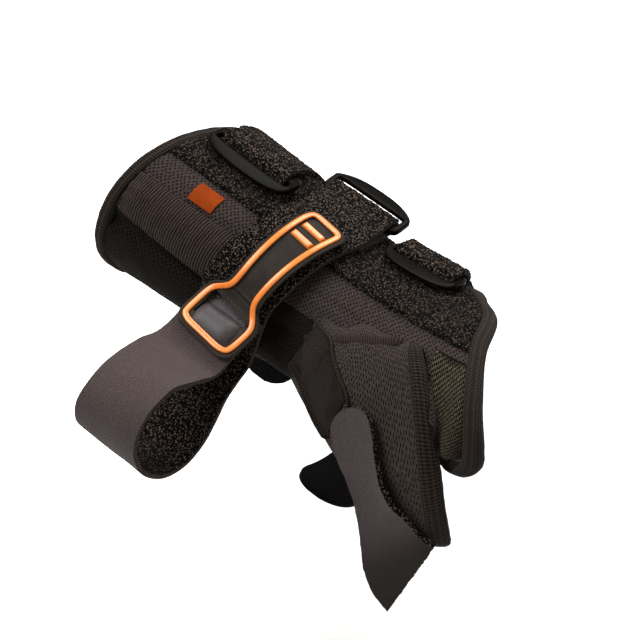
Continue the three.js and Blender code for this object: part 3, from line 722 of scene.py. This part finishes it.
# Thumb
def sleeve_depth(point):
    """How far a point is outside the sleeve, about, in mm."""
    x = point.x
    dy, dz = point.y - column(SLEEVE, x, 1), point.z - column(SLEEVE, x, 2)
    side = abs(-dy * math.cos(ROLL) + dz * math.sin(ROLL)) / column(SLEEVE, x, 3)
    up = abs(dy * math.sin(ROLL) + dz * math.cos(ROLL)) / column(SLEEVE, x, 4)
    return ((side ** SQUARENESS + up ** SQUARENESS) ** (1 / SQUARENESS) - 1) * column(SLEEVE, x, 4)


def sheath_reach(key):
    """Where round its own middle the sheath comes out of the sleeve, and where it goes back in."""
    ends = []
    for step in (-1, 1):
        around = 105.0
        while abs(around - 105) < 150 and sleeve_depth(thumb_point(key, around)) > SHEATH_SINK:
            around += step
        ends.append(around)
    return ends


def thumb_rim(around):
    """The rim's place along the sheath: it is cut back on the near side of the thumb."""
    return SHEATH_RIM - 0.27 * max(0.0, math.sin(math.radians(around))) ** 1.5


def make_thumb_sheath(sleeve_piece):
    first = 0.0
    while sleeve_depth(thumb_point(first, 105)) < SHEATH_SINK:
        first += 0.02
    reach = [sheath_reach(lerp(first, 4.12, n / 90)) for n in range(91)]

    def place(s, t):
        low, high = reach[round(s * 90)]
        around = lerp(low, high, t)
        key = lerp(first, thumb_rim(around) + 0.12, s)
        fold = 0.8 * noise.noise(Vector((key * 1.6, around / 30, 1.7)))
        crease = -1.4 * math.exp(-((around - 118) / 7) ** 2 - ((key - 2.4) / 0.9) ** 2)
        return thumb_point(key, around, -fold - crease)

    piece = lay_out("thumb_sheath_laminate", (90, 100), place, (92, 72), flip=True)
    wall(piece, SHEATH_WALL, -1.0, LAMINATE_THUMB, LINING)
    add_thumb_seams(sleeve_piece, piece)
    dress(piece)
    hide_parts("thumb_sheath")
    return piece


# Seams on the thumb side, as x and angle round the sleeve; each lies on the cloth that is under it
PIPING = [(8, 60), (15, 64), (22, 68), (25, 74), (32, 83), (40, 92), (44, 102)]
WELT = [(21.5, 64), (27, 58), (34, 51), (40, 45.5), (45, 41), (50, 37.5), (54, 36)]
POCKET_INNER = [(12, 64), (22, 70), (25, 76), (33, 85), (40, 94)]
POCKET_OUTER = [(10, 102), (17, 110), (25, 118), (33, 126), (41, 133)]


def seat_on(cloths, x, around, off):
    """The outermost of the cloths at a place on the sleeve, and off it by some mm."""
    up = sleeve_up(x, around)
    start = sleeve(x, around, 30) * MM
    best = None
    for cloth in cloths:
        hit, place, _, _ = cloth.ray_cast(start, -up)
        if hit and (best is None or (place - start).length < (best - start).length):
            best = place
    return (best / MM if best else sleeve(x, around)) + up * off


def add_thumb_seams(sleeve_piece, sheath):
    cloths = (sleeve_piece, sheath)
    out = lambda point: SIGHT.normalized()

    def pocket(s, t):
        edges = [[(k / 4,) + row for k, row in enumerate(table)] for table in (POCKET_INNER, POCKET_OUTER)]
        (xa, ra), (xb, rb) = ([column(edge, s, c) for c in (1, 2)] for edge in edges)
        ease = min(1.0, 7 * min(s, 1 - s, t, 1 - t))
        rise = 0.5 + 0.7 * ease + 0.25 * noise.noise(Vector((s * 9, t * 7, 2)))
        return seat_on(cloths, lerp(xa, xb, t), lerp(ra, rb, t), rise)

    second = lay_out("second_pocket", (60, 50), pocket, (40, 26), flip=True)
    wall(second, 0.8, -1.0, POCKET)
    seam = lambda table, off: [seat_on(cloths, x, a, off) for x, a in table]
    piping = tube("piping", seam(PIPING, 0.5), 1.5, 1.5, out, steps=(12, 110), finish=BINDING)
    edge = tube("pocket_edge", seam(POCKET_OUTER, 0.7), 4.0, 2.2, out, steps=(14, 90), finish=BINDING)
    welt = tube("welt", seam(WELT, 0.3), 3.6, 1.3, out, steps=(16, 110), finish=WELT_TAPE)
    sewing = stitches("seam_sewing", seam([(x + 0.4, a - 2.2) for x, a in PIPING], 0.25), out)
    join_to(sheath, second, piping, edge, welt, sewing)


# Tape round the thumb opening: angle, width
THUMB_TAPE = [(0, 5.8), (60, 7.4), (120, 9.4), (180, 11.0), (240, 8.5)]


def make_thumb_binding(sleeve_plug):
    thick, first, last = 5.6, 4, 232
    middle = (thumb_point(SHEATH_RIM, 0) + thumb_point(SHEATH_RIM, 180)) / 2

    def place(s, t):
        around = lerp(first, last, t)
        wide = column(THUMB_TAPE, around, 1)
        edge = thumb_point(thumb_rim(around), around)
        out = (edge - middle).normalized()
        away = (thumb_point(5, around) - edge).normalized()
        away = (away - out * away.dot(out)).normalized()
        turn = 2 * math.pi * s
        end = min(1.0, 14 * min(t, 1 - t)) ** 0.5
        flat = lambda v: math.copysign(abs(v) ** 0.75, v)
        full = end * (1 + 0.07 * noise.noise(Vector((around / 9, s * 5, 2))))
        middle_of_tape = edge - out * SHEATH_WALL / 2 + away * (wide / 2 - 0.8)
        return (middle_of_tape + away * flat(math.cos(turn)) * wide / 2 * full
                + out * flat(math.sin(turn)) * thick / 2 * full)

    piece = lay_out("thumb_binding_tape", (24, 170), place, (24, 104), closed=True)
    face_outwards(piece)
    cut_away(piece, sleeve_plug)
    dress(piece, BINDING)
    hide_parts("thumb_binding")
    return piece


def make_gauze():
    def off(s, t, x, around):
        fold = 1.8 * math.sin(s * 8.5 + t * 4) * (0.4 + 0.6 * t)
        return -WALL / 2 + fold * min(1.0, 6 * min(s, 1 - s))

    start = lambda around: gauze_edge(around) - 3
    end = lambda around: hand_rim(around) - 5
    piece = on_sleeve_patch("web_gauze_mesh", (60, 90), start, end, GAUZE_ROUND, off, (30, 54))
    wall(piece, 0.7, 0, MESH)
    dress(piece)
    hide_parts("web_gauze")
    return piece


# Rings: place on the sleeve, length, width, near bar, and the far bar that its strap turns round
FOREARM_RING = {"x": -54, "around": 6, "long": 43, "wide": 16, "bar": 5, "held": 6.6}
WRIST_RING = {"x": -11, "around": -17, "long": 39, "wide": 14.5, "bar": 3.9, "held": 5.5}
HAND_RING = {"x": 29, "around": -9, "long": 34, "wide": 16, "bar": 5, "held": 6.6}
RING_THICK = 2.8
BAR_THICK = 2.4
PANEL_TOP = 1.5
WEB = 1.4
RING_HEIGHT = PANEL_TOP + WEB + BAR_THICK / 2 + 0.8
# The wrist ring is held higher than the others, and hangs down from the bar that its strap turns round
WRIST_RING_LIFT = 2.4
DROOP = math.radians(8)


def ring_seat(ring):
    x, around = ring["x"], ring["around"]
    up = sleeve_up(x, around)
    along = (sleeve(x + 1, around) - sleeve(x - 1, around)).normalized()
    return sleeve(x, around) + up * RING_HEIGHT, along, up.cross(along).normalized(), up


def wrist_ring_seat(ring):
    along = Vector((-1, 0, 0))
    side = Vector((0, -math.cos(DROOP), math.sin(DROOP)))
    middle = sleeve(ring["x"], ring["around"], RING_HEIGHT + WRIST_RING_LIFT)
    return middle - side * (ring["wide"] - ring["held"]) / 2, along, side, along.cross(side)


FOREARM_SEAT = ring_seat(FOREARM_RING)
HAND_SEAT = ring_seat(HAND_RING)
WRIST_SEAT = wrist_ring_seat(WRIST_RING)


def make_ring(name, node, seat, ring):
    """A moulded frame with one slot. Its near bar is a plate that bows out and thins towards its edge."""
    middle, along, side, up = seat
    long, wide, bar, held = (ring[key] for key in ("long", "wide", "bar", "held"))
    squared = lambda v, power: math.copysign(abs(v) ** power, v)

    def place(s, t):
        around, turn = 2 * math.pi * t, 2 * math.pi * s
        c, q = math.cos(around), math.sin(around)
        outer = (long / 2 * squared(c, 0.42), wide / 2 * squared(q, 0.42))
        low, high = -wide / 2 + bar, wide / 2 - held
        inner = ((long / 2 - 2.6) * squared(c, 0.2), (low + high) / 2 + (high - low) / 2 * squared(q, 0.2))
        out = (1 + squared(math.cos(turn), 0.62)) / 2
        a, b = lerp(inner[0], outer[0], out), lerp(inner[1], outer[1], out)
        near = min(max((-b - wide / 2 + bar) / bar, 0.0), 1.0)
        b -= 2.2 * near * (1 - (a / (long / 2)) ** 2)
        a *= 1 - 0.05 * near
        rise = squared(math.sin(turn), 0.36) * RING_THICK / 2
        rise = rise * (1 - 0.55 * near) - 0.75 * near if rise > 0 else rise
        return middle + along * a + side * b + up * rise

    piece = lay_out(name, (28, 220), place, (2 * bar, 2 * (long + wide)), closed=True)
    face_outwards(piece)
    dress(piece, RING)
    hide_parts(node)
    return piece


# Straps: rows of a middle and half the width as a vector
FOREARM_WIDE, HAND_WIDE, WRIST_WIDE = 33, 27.5, 32.0
TURN_SLACK = 0.9
TURN_CLEAR = 0.3


def bar_turn(seat, wide, ring, tail_long):
    """A strap's way round the far bar of its ring, from below it to above it."""
    middle, along, side, up = seat
    held = ring["held"]
    reach = ring["wide"] / 2 - held / 2
    radius = held / 2 + TURN_CLEAR + WEB / 2 + TURN_SLACK
    height = BAR_THICK / 2 + TURN_CLEAR + WEB / 2 + 0.25
    across = along * math.copysign(wide / 2, along.x)
    point = lambda out, rise: (middle + side * (reach + out) + up * rise, across)
    turns = [math.pi * (k / 8 - 0.5) for k in range(9)]
    return ([point(tail_long, -height)]
            + [point(-radius + height * (1 - math.cos(a)), height * math.sin(a)) for a in turns]
            + [point(held / 2 + TURN_SLACK, height)])


def on_sleeve(x, rounds, off, wide):
    return [(sleeve(x, around, off), (sleeve(x + 1, around) - sleeve(x - 1, around)).normalized() * wide / 2)
            for around in rounds]


def hanging(rows, wide):
    return [(Vector(row), Vector((wide / 2, 0, 0))) for row in rows]


def band(name, rows, steps, cut_wide, shape=None, lift=None):
    """A strap laid along its rows: shape(run, long) scales its width, and lift(run, side) raises it."""
    line = Line([middle for middle, _ in rows])
    across = [half for _, half in rows]

    def place(s, t):
        run, side = t * line.long, 2 * s - 1
        half = line.value(run, across) * (shape(run, line.long) if shape else 1.0)
        point = line.at(run) + half * side
        if lift:
            point += half.cross(line.way(run)).normalized() * lift(run, side)
        return point

    piece = lay_out(name, steps, place, (cut_wide, line.long))
    return piece, line.long


def tongue(blunt):
    """A rounded end for a strap."""
    return lambda run, long: math.sqrt(max(0.02, 1 - 0.95 * max(0.0, 1 - (long - run) / blunt) ** 2.5))


STRAP_TOP = PANEL_TOP + WEB / 2 + 0.5
# How the loose straps hang: x, y, z
FOREARM_TAIL = [(-58, 42, -26), (-56, 41, -44), (-54, 34, -62)]
FOREARM_TAB = [(-54.1, 34.6, -60.6), (-50, 20, -82), (-47, 4, -98)]
HAND_TAIL = [(24, 41, -20), (24, 41, -42), (24, 33, -64), (24, 16, -81), (24, 1, -86.5)]
HAND_TAB = [(24, 2.6, -86.9), (24, -18, -82), (23.5, -38, -69.5)]


def soft_strap(name, node, rows, wide, steps):
    waver = lambda run, side: 0.25 * noise.noise(Vector((run / 9, side, 4)))
    piece, long = band(name, rows, steps, wide, lift=waver)
    wall(piece, 1.9, 0, PILE_STRAP, EDGE, PILE_STRAP)
    fuzz(piece, 0.75, 0.9, finish=0)
    fuzz(piece, 0.35, 0.8, finish=2)
    dress(piece)
    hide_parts(node)
    return piece


def hook_tab(name, node, rows, wide):
    piece, long = band(name, hanging(rows, wide), (30, 44), wide, shape=tongue(wide / 2))
    wall(piece, 2.1, 0, HOOK)
    round_edges(piece, 0.4, 50)
    dress(piece)
    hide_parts(node)
    return piece


def make_loose_straps():
    x, wide = FOREARM_RING["x"], FOREARM_WIDE
    rows = (bar_turn(FOREARM_SEAT, wide, FOREARM_RING, 3.5) + on_sleeve(x - 3, [-18], STRAP_TOP + 1.6, wide)
            + on_sleeve(x - 5, [-30, -40, -50, -62, -76, -92, -106], STRAP_TOP, wide)
            + hanging(FOREARM_TAIL, wide))
    soft_strap("forearm_strap", "strap_forearm", rows, wide, (44, 220))
    x, wide = HAND_RING["x"], HAND_WIDE
    rows = (bar_turn(HAND_SEAT, wide, HAND_RING, 3.5) + on_sleeve(x - 3, [-34], STRAP_TOP + 1.6, wide)
            + on_sleeve(x - 5, [-46, -56, -66, -78, -90, -104], STRAP_TOP + 0.2, wide)
            + hanging(HAND_TAIL, wide))
    soft_strap("hand_strap", "strap_hand", rows, wide, (38, 240))
    hook_tab("forearm_hook_tab", "hook_tab_forearm", FOREARM_TAB, FOREARM_WIDE)
    hook_tab("hand_hook_tab", "hook_tab_hand", HAND_TAB, HAND_WIDE)


# Wrist strap: y, z and lift of its hanging loop
WRIST_LOOP = [
    (-38.3, 18, 0), (-42, 10, 0), (-46.5, 3.2, 0), (-53, -0.5, 0), (-60, -5.5, 0), (-66, -13, 0),
    (-73, -20.5, 0), (-83, -24, 0), (-93, -20.5, 0), (-101, -12, 0), (-106, -2, 0), (-108, 9, 2),
    (-105.5, 18.5, 3), (-98, 24.5, 4), (-86, 26, 4), (-73, 20.5, 1), (-65, 16.2, 0), (-59, 16.6, 0),
    (-53.5, 18.8, 0), (-48, 20.8, 0), (-42, 21.8, 0), (-38, 22.2, 0),
]
# x of the strap's middle at its root, in its loop and at its end, which narrows under the tab
ROOT_X, LOOP_X, TUCK_X = -10.5, -19.0, -16.6
TUCK_WIDE, TUCK_ROWS = 28.6, 6
# The fold that stands up in the tab's window
FOLD = {"from_end": 11.5, "reach": 5.4, "high": 3.0}


def wrist_rows():
    """The wrist strap's way: from its root round the ring, back over the panel and out into its loop."""
    low, wide = STRAP_TOP + 0.1, WRIST_WIDE
    rows = (on_sleeve(ROOT_X, [8, 3, -2, -7], low, wide) + bar_turn(WRIST_SEAT, wide, WRIST_RING, 2.75)
            + on_sleeve(ROOT_X, [-1], low + 4, wide) + on_sleeve(ROOT_X, [8], low + 2.4, wide))
    out = [18, 28, 38, 48, 58, 68, 76]
    for n, around in enumerate(out):
        rows += on_sleeve(lerp(ROOT_X, LOOP_X, (n + 1) / len(out)), [around], 5, wide)
    for n, (y, z, lift) in enumerate(WRIST_LOOP):
        tuck = max(0.0, (n + 1 + TUCK_ROWS - len(WRIST_LOOP)) / TUCK_ROWS)
        half = lerp(wide, TUCK_WIDE, tuck) / 2
        rows.append((Vector((lerp(LOOP_X, TUCK_X, tuck), y, z)), Vector((half, 0, lift))))
    return rows


def make_wrist_strap():
    rows = wrist_rows()
    whole = Line([middle for middle, _ in rows]).long

    def lift(run, side):
        roll = max(0.0, 1 - ((whole - run - FOLD["from_end"]) / FOLD["reach"]) ** 2) ** 0.5
        across = max(0.0, 1 - (side / 0.64) ** 6)
        return 0.3 * noise.noise(Vector((run / 12, side, 1))) + FOLD["high"] * roll * across

    piece, long = band("wrist_strap", rows, (44, 380), WRIST_WIDE, lift=lift)
    wall(piece, 2.0, 0, ELASTIC, PILE_STRAP, EDGE)
    fuzz(piece, 0.7, 0.9, finish=1)
    piece.data.materials.append(ELASTIC_TAUT)
    uv = piece.data.uv_layers.active.data
    fold_from = long - FOLD["from_end"] - FOLD["reach"]
    for face in piece.data.polygons:
        on = uv[face.loop_start].uv / MM
        if face.material_index == 0 and on.y > fold_from and abs(on.x / WRIST_WIDE - 0.5) < 0.31:
            face.material_index = 3
    dress(piece)
    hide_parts("strap_wrist")


# Thumb strap: left edge and right edge
THUMB_STRAP = [
    ((40.5, -46, 15), (53, -41, 27)), ((42, -48, 10), (57, -43, 25)), ((45, -49.5, 3.5), (63, -47, 18.5)),
    ((49, -50.5, -4), (67, -49.5, 12)), ((54.5, -51.5, -8.5), (71.5, -51.5, 5)),
    ((59, -52, -18), (77.5, -53, -1)), ((61.5, -52, -40), (87, -53.5, -5)),
    ((64, -52, -66), (93.5, -54, -9)), ((69, -51.5, -81), (97.5, -54, -8)),
    ((76.5, -51, -88), (99.5, -54, -7.5)),
]


def make_thumb_strap():
    rows = [((Vector(a) + Vector(b)) / 2, (Vector(b) - Vector(a)) / 2) for a, b in THUMB_STRAP]

    def shape(run, long):
        return math.sqrt(max(0.1, 1 - 0.9 * max(0.0, 1 - run / 9) ** 2.5))

    def lift(run, side):
        roll = 1.6 * math.exp(-((run - 34) / 16) ** 2) * side * side
        return -roll + 0.3 * noise.noise(Vector((run / 10, side, 8)))

    piece, _ = band("thumb_strap_elastic", rows, (40, 110), 30, shape=shape, lift=lift)
    wall(piece, 2.0, 0, PILE_STRAP, ELASTIC_DARKENING, PILE_STRAP)
    fuzz(piece, 0.6, 0.9, finish=0)
    fuzz(piece, 0.2, 0.8, finish=2)
    dress(piece)
    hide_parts("thumb_strap")


# Pull tab: distance from its round end, half width
PULL_TAB = [
    (0, 6.6), (1.2, 9.2), (4, 10.8), (14, 10.5), (34, 9.2), (45, 8.9), (48.5, 9.8),
    (51.5, 13.2), (54.5, 15.2), (61, 15.7), (68.5, 15.4), (71.5, 13.8), (73, 10.8),
]
TAB_LONG = PULL_TAB[-1][0]
TAB_THICK = 2.2
TAB_GROOVE = 48.5
# Window: from and to along the tab, half width
TAB_WINDOW = (54.5, 66.0, 10.8)
# The tab's line: angles where it lies on the sleeve, then x, y, z where it stands off over the loop
TAB_ROUNDS = (12, 22, 34, 46, 58, 70, 80)
TAB_HEAD = [(-16, -44, 23.6), (-17, -51, 21.4), (-17.8, -58, 20.1), (-18.6, -66, 19.6)]


def tab_line():
    last = len(TAB_ROUNDS) - 1
    lying = [sleeve(lerp(-7.5, -15, i / last), around, lerp(7.6, 8.8, i / last))
             for i, around in enumerate(TAB_ROUNDS)]
    return Line(lying + [Vector(place) for place in TAB_HEAD])


TAB_LINE = tab_line()


def on_tab(run, across, high):
    """A point on the pull tab, by distance from its round end, distance off its line and height."""
    way = TAB_LINE.way(run)
    side = Vector((1, 0, 0))
    side = (side - way * side.dot(way)).normalized()
    up = side.cross(way).normalized()
    if up.dot(Vector((0, -0.5, 1))) < 0:
        up = -up
    return TAB_LINE.at(run) + side * across + up * high


def tab_half(run):
    return column(PULL_TAB, run, 1)


def face_up(piece, sample=0):
    """Turns an open sheet over if the sampled face points down."""
    if piece.data.polygons[sample].normal.z < 0:
        piece.data.flip_normals()


def tab_sewing(name, run, half, high, **thread):
    """A row of stitches across the pull tab."""
    up = (on_tab(60, 0, 1) - on_tab(60, 0, 0)).normalized()
    return stitches(name, [on_tab(run, share * half, high) for share in (-1, -0.5, 0, 0.5, 1)],
                    lambda point: up, **thread)


def make_pull_tab():
    """Soft moulded plate with a raised lip, a dished middle and a window that shows the strap."""
    def place(s, t):
        run, side = TAB_LONG * t, 2 * s - 1
        half = tab_half(run)
        inset = min(half * (1 - abs(side)), run, TAB_LONG - run)
        dish = -0.55 * min(1.0, max(0.0, inset - 3.6)) if run < TAB_GROOVE - 1.5 else 0.0
        lip = -0.5 * max(0.0, 1 - inset / 0.8) ** 2
        groove = -0.6 * math.exp(-((run - TAB_GROOVE) / 0.45) ** 2)
        return on_tab(run, side * half, TAB_THICK / 2 + dish + lip + groove)

    piece = lay_out("pull_tab_plate", (64, 150), place, (30, TAB_LONG))
    face_up(piece)
    wall(piece, TAB_THICK, -1.0, RUBBER)
    low, high, half = TAB_WINDOW
    cutter = lambda s, t: on_tab(lerp(low, high, t), (2 * s - 1) * half, 4)
    window = lay_out("window", (10, 10), cutter, (1, 1))
    face_up(window)
    finish_with(window, "SOLIDIFY", thickness=8 * MM, offset=-1.0)
    cut_away(piece, window)
    drop(window)
    round_edges(piece, 0.35, 55)
    rows = [tab_sewing("fold_sewing", run, half - 0.8, -0.2) for run in (low + 1.1, high - 1.1)]
    rows.append(tab_sewing("head_sewing", low - 1.6, half + 0.6, TAB_THICK / 2 + 0.1, long=1.1, thick=0.34))
    join_to(piece, *rows)
    dress(piece)
    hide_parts("pull_tab")


TRIM_INSET, TRIM_WIDE, TRIM_HIGH = 1.7, 2.4, 1.15
# The trim's two bars: from and to along the tab
TRIM_BARS = ((8.6, 11.2), (14.4, 17.2))


def trim_outline():
    """The trim's outer line, as distance along the tab and off its line, with its corners rounded."""
    first, last = TRIM_INSET, TAB_LONG - TRIM_INSET
    half = lambda run: tab_half(run) - TRIM_INSET
    steps, ends, soften = 150, 26, 6
    runs = [lerp(first, last, n / steps) for n in range(steps)]
    back = [lerp(last, first, n / steps) for n in range(steps)]
    line = [(run, -half(run)) for run in runs]
    line += [(last, lerp(-half(last), half(last), n / ends)) for n in range(ends)]
    line += [(run, half(run)) for run in back]
    line += [(first, lerp(half(first), -half(first), n / ends)) for n in range(ends)]
    soft = []
    for n in range(len(line)):
        near = [line[(n + k) % len(line)] for k in range(-soften, soften + 1)]
        soft.append(tuple(sum(point[axis] for point in near) / len(near) for axis in (0, 1)))
    return soft


def trim_bar(low, top):
    def place(s, t):
        run = lerp(low, top, t)
        edge = min(1.0, 6 * min(t, 1 - t)) ** 0.5 * min(1.0, 14 * min(s, 1 - s)) ** 0.5
        half = tab_half(run) - TRIM_INSET - TRIM_WIDE - 0.9
        return on_tab(run, (2 * s - 1) * half, TAB_THICK / 2 - 0.5 + TRIM_HIGH * edge)

    bar = lay_out("trim_bar", (40, 14), place, (16, 3))
    face_up(bar, len(bar.data.polygons) // 2)
    finish_with(bar, "SOLIDIFY", thickness=0.4 * MM, offset=-1.0)
    return bar


def make_trim():
    """Second shot of softer rubber: a round-topped bead just inside the tab's edge, and two bars."""
    outline = trim_outline()
    count = len(outline)

    def place(s, t):
        n = round(t * count) % count
        (r0, a0), (r1, a1), (r, a) = outline[n - 1], outline[(n + 1) % count], outline[n]
        size = math.hypot(r1 - r0, a1 - a0) or 1
        turn = 2 * math.pi * s
        flat = lambda v: math.copysign(abs(v) ** 0.7, v)
        out = TRIM_WIDE / 2 + flat(math.cos(turn)) * TRIM_WIDE / 2
        rise = TAB_THICK / 2 - 0.2 + (flat(math.sin(turn)) + 1) / 2 * TRIM_HIGH
        return on_tab(r - out * (a1 - a0) / size, a + out * (r1 - r0) / size, rise)

    piece = lay_out("tab_trim_bead", (16, count), place, (8, 170), closed=True)
    face_outwards(piece)
    join_to(piece, *[trim_bar(low, top) for low, top in TRIM_BARS])
    dress(piece, TRIM)
    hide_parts("tab_trim")


sleeve_piece = make_sleeve()
rim_binding("forearm_binding_tape", "forearm_binding", forearm_rim, FOREARM_BINDING_WIDE, toward=1)
rim_binding("hand_binding_tape", "hand_binding", hand_rim, BINDING_WIDE, toward=-1)
make_loop_panel()
make_stay_pocket()
make_label()
sleeve_plug = sleeve_filled(0.1)
make_thumb_sheath(sleeve_piece)
make_thumb_binding(sleeve_plug)
drop(sleeve_plug)
make_gauze()
make_ring("forearm_ring", "ring_forearm", FOREARM_SEAT, FOREARM_RING)
make_ring("wrist_ring", "ring_wrist", WRIST_SEAT, WRIST_RING)
make_ring("hand_ring", "ring_hand", HAND_SEAT, HAND_RING)
make_loose_straps()
make_wrist_strap()
make_thumb_strap()
make_pull_tab()
make_trim()

# Studio: a pale floor well below the splint, soft light from the upper left, and the photograph's view
bpy.ops.object.select_all(action="DESELECT")
bpy.ops.mesh.primitive_plane_add(size=6, location=(0, 0, -0.14))
floor = bpy.context.object
floor.name = "floor"
bpy.ops.object.transform_apply(location=True, rotation=True, scale=True)
paper, paper_tree, paper_shader = new_material("studio_paper", 0.9)
paper_tone = add_node(paper_tree, "ShaderNodeValToRGB", {"Fac": speckle(paper_tree, 40)},
                      stops=((0.3, "f2f2f1"), (0.7, "f6f6f5")))
paper_tree.links.new(paper_tone.outputs["Color"], paper_shader.inputs["Base Color"])
floor.data.materials.append(paper)

world = bpy.data.worlds.new("studio")
world.use_nodes = True
world.node_tree.nodes["Background"].inputs["Color"].default_value = hex_colour("f7f3ee")
world.node_tree.nodes["Background"].inputs["Strength"].default_value = 0.42
bpy.context.scene.world = world

# The photograph's view: turn and height in degrees, distance in mm, pixels to a millimetre
VIEW_AROUND, VIEW_UP, VIEW_FAR, VIEW_SCALE = 42.0, 53.5, 900.0, 2.5
# The picture's side and the pixel that the middle of the wrist is at, and the camera's sensor in mm
PICTURE, WRIST_PIXEL, SENSOR = 640, (333, 306), 36
around, above = math.radians(VIEW_AROUND), math.radians(VIEW_UP)
back = Vector((math.sin(around) * math.cos(above), -math.cos(around) * math.cos(above), math.sin(above)))
right = Vector((math.cos(around), math.sin(around), 0))
upward = back.cross(right)
target = -(right * (WRIST_PIXEL[0] - PICTURE / 2) + upward * (PICTURE / 2 - WRIST_PIXEL[1])) / VIEW_SCALE

# Lamps: name, mm back towards the camera, to the right and up from the splint, size in metres, watts
LAMPS = [
    ("key_light", 500, -620, 620, 0.55, 13),
    ("fill_light", 700, 560, -120, 0.9, 3),
    ("rim_light", 120, 240, 800, 0.5, 10),
]
LAMPS_AIM = Vector((0, -20, 0))
for name, near, aside, high, size, watts in LAMPS:
    bpy.ops.object.select_all(action="DESELECT")
    bpy.ops.object.light_add(type="AREA")
    lamp = bpy.context.object
    lamp.name = name
    lamp.data.size = size
    lamp.data.energy = watts
    place = back * near + right * aside + upward * high
    lamp.location = place * MM
    lamp.rotation_euler = (LAMPS_AIM - place).to_track_quat("-Z", "Y").to_euler()

camera_data = bpy.data.cameras.new("camera")
camera = bpy.data.objects.new("camera", camera_data)
bpy.context.collection.objects.link(camera)
camera_data.sensor_width = SENSOR
camera_data.lens = VIEW_FAR * VIEW_SCALE / PICTURE * SENSOR
pose = Matrix((right, upward, back)).transposed().to_4x4()
pose.translation = (target + back * VIEW_FAR) * MM
camera.matrix_world = pose
bpy.context.scene.camera = camera
bpy.context.scene.view_settings.view_transform = "Standard"
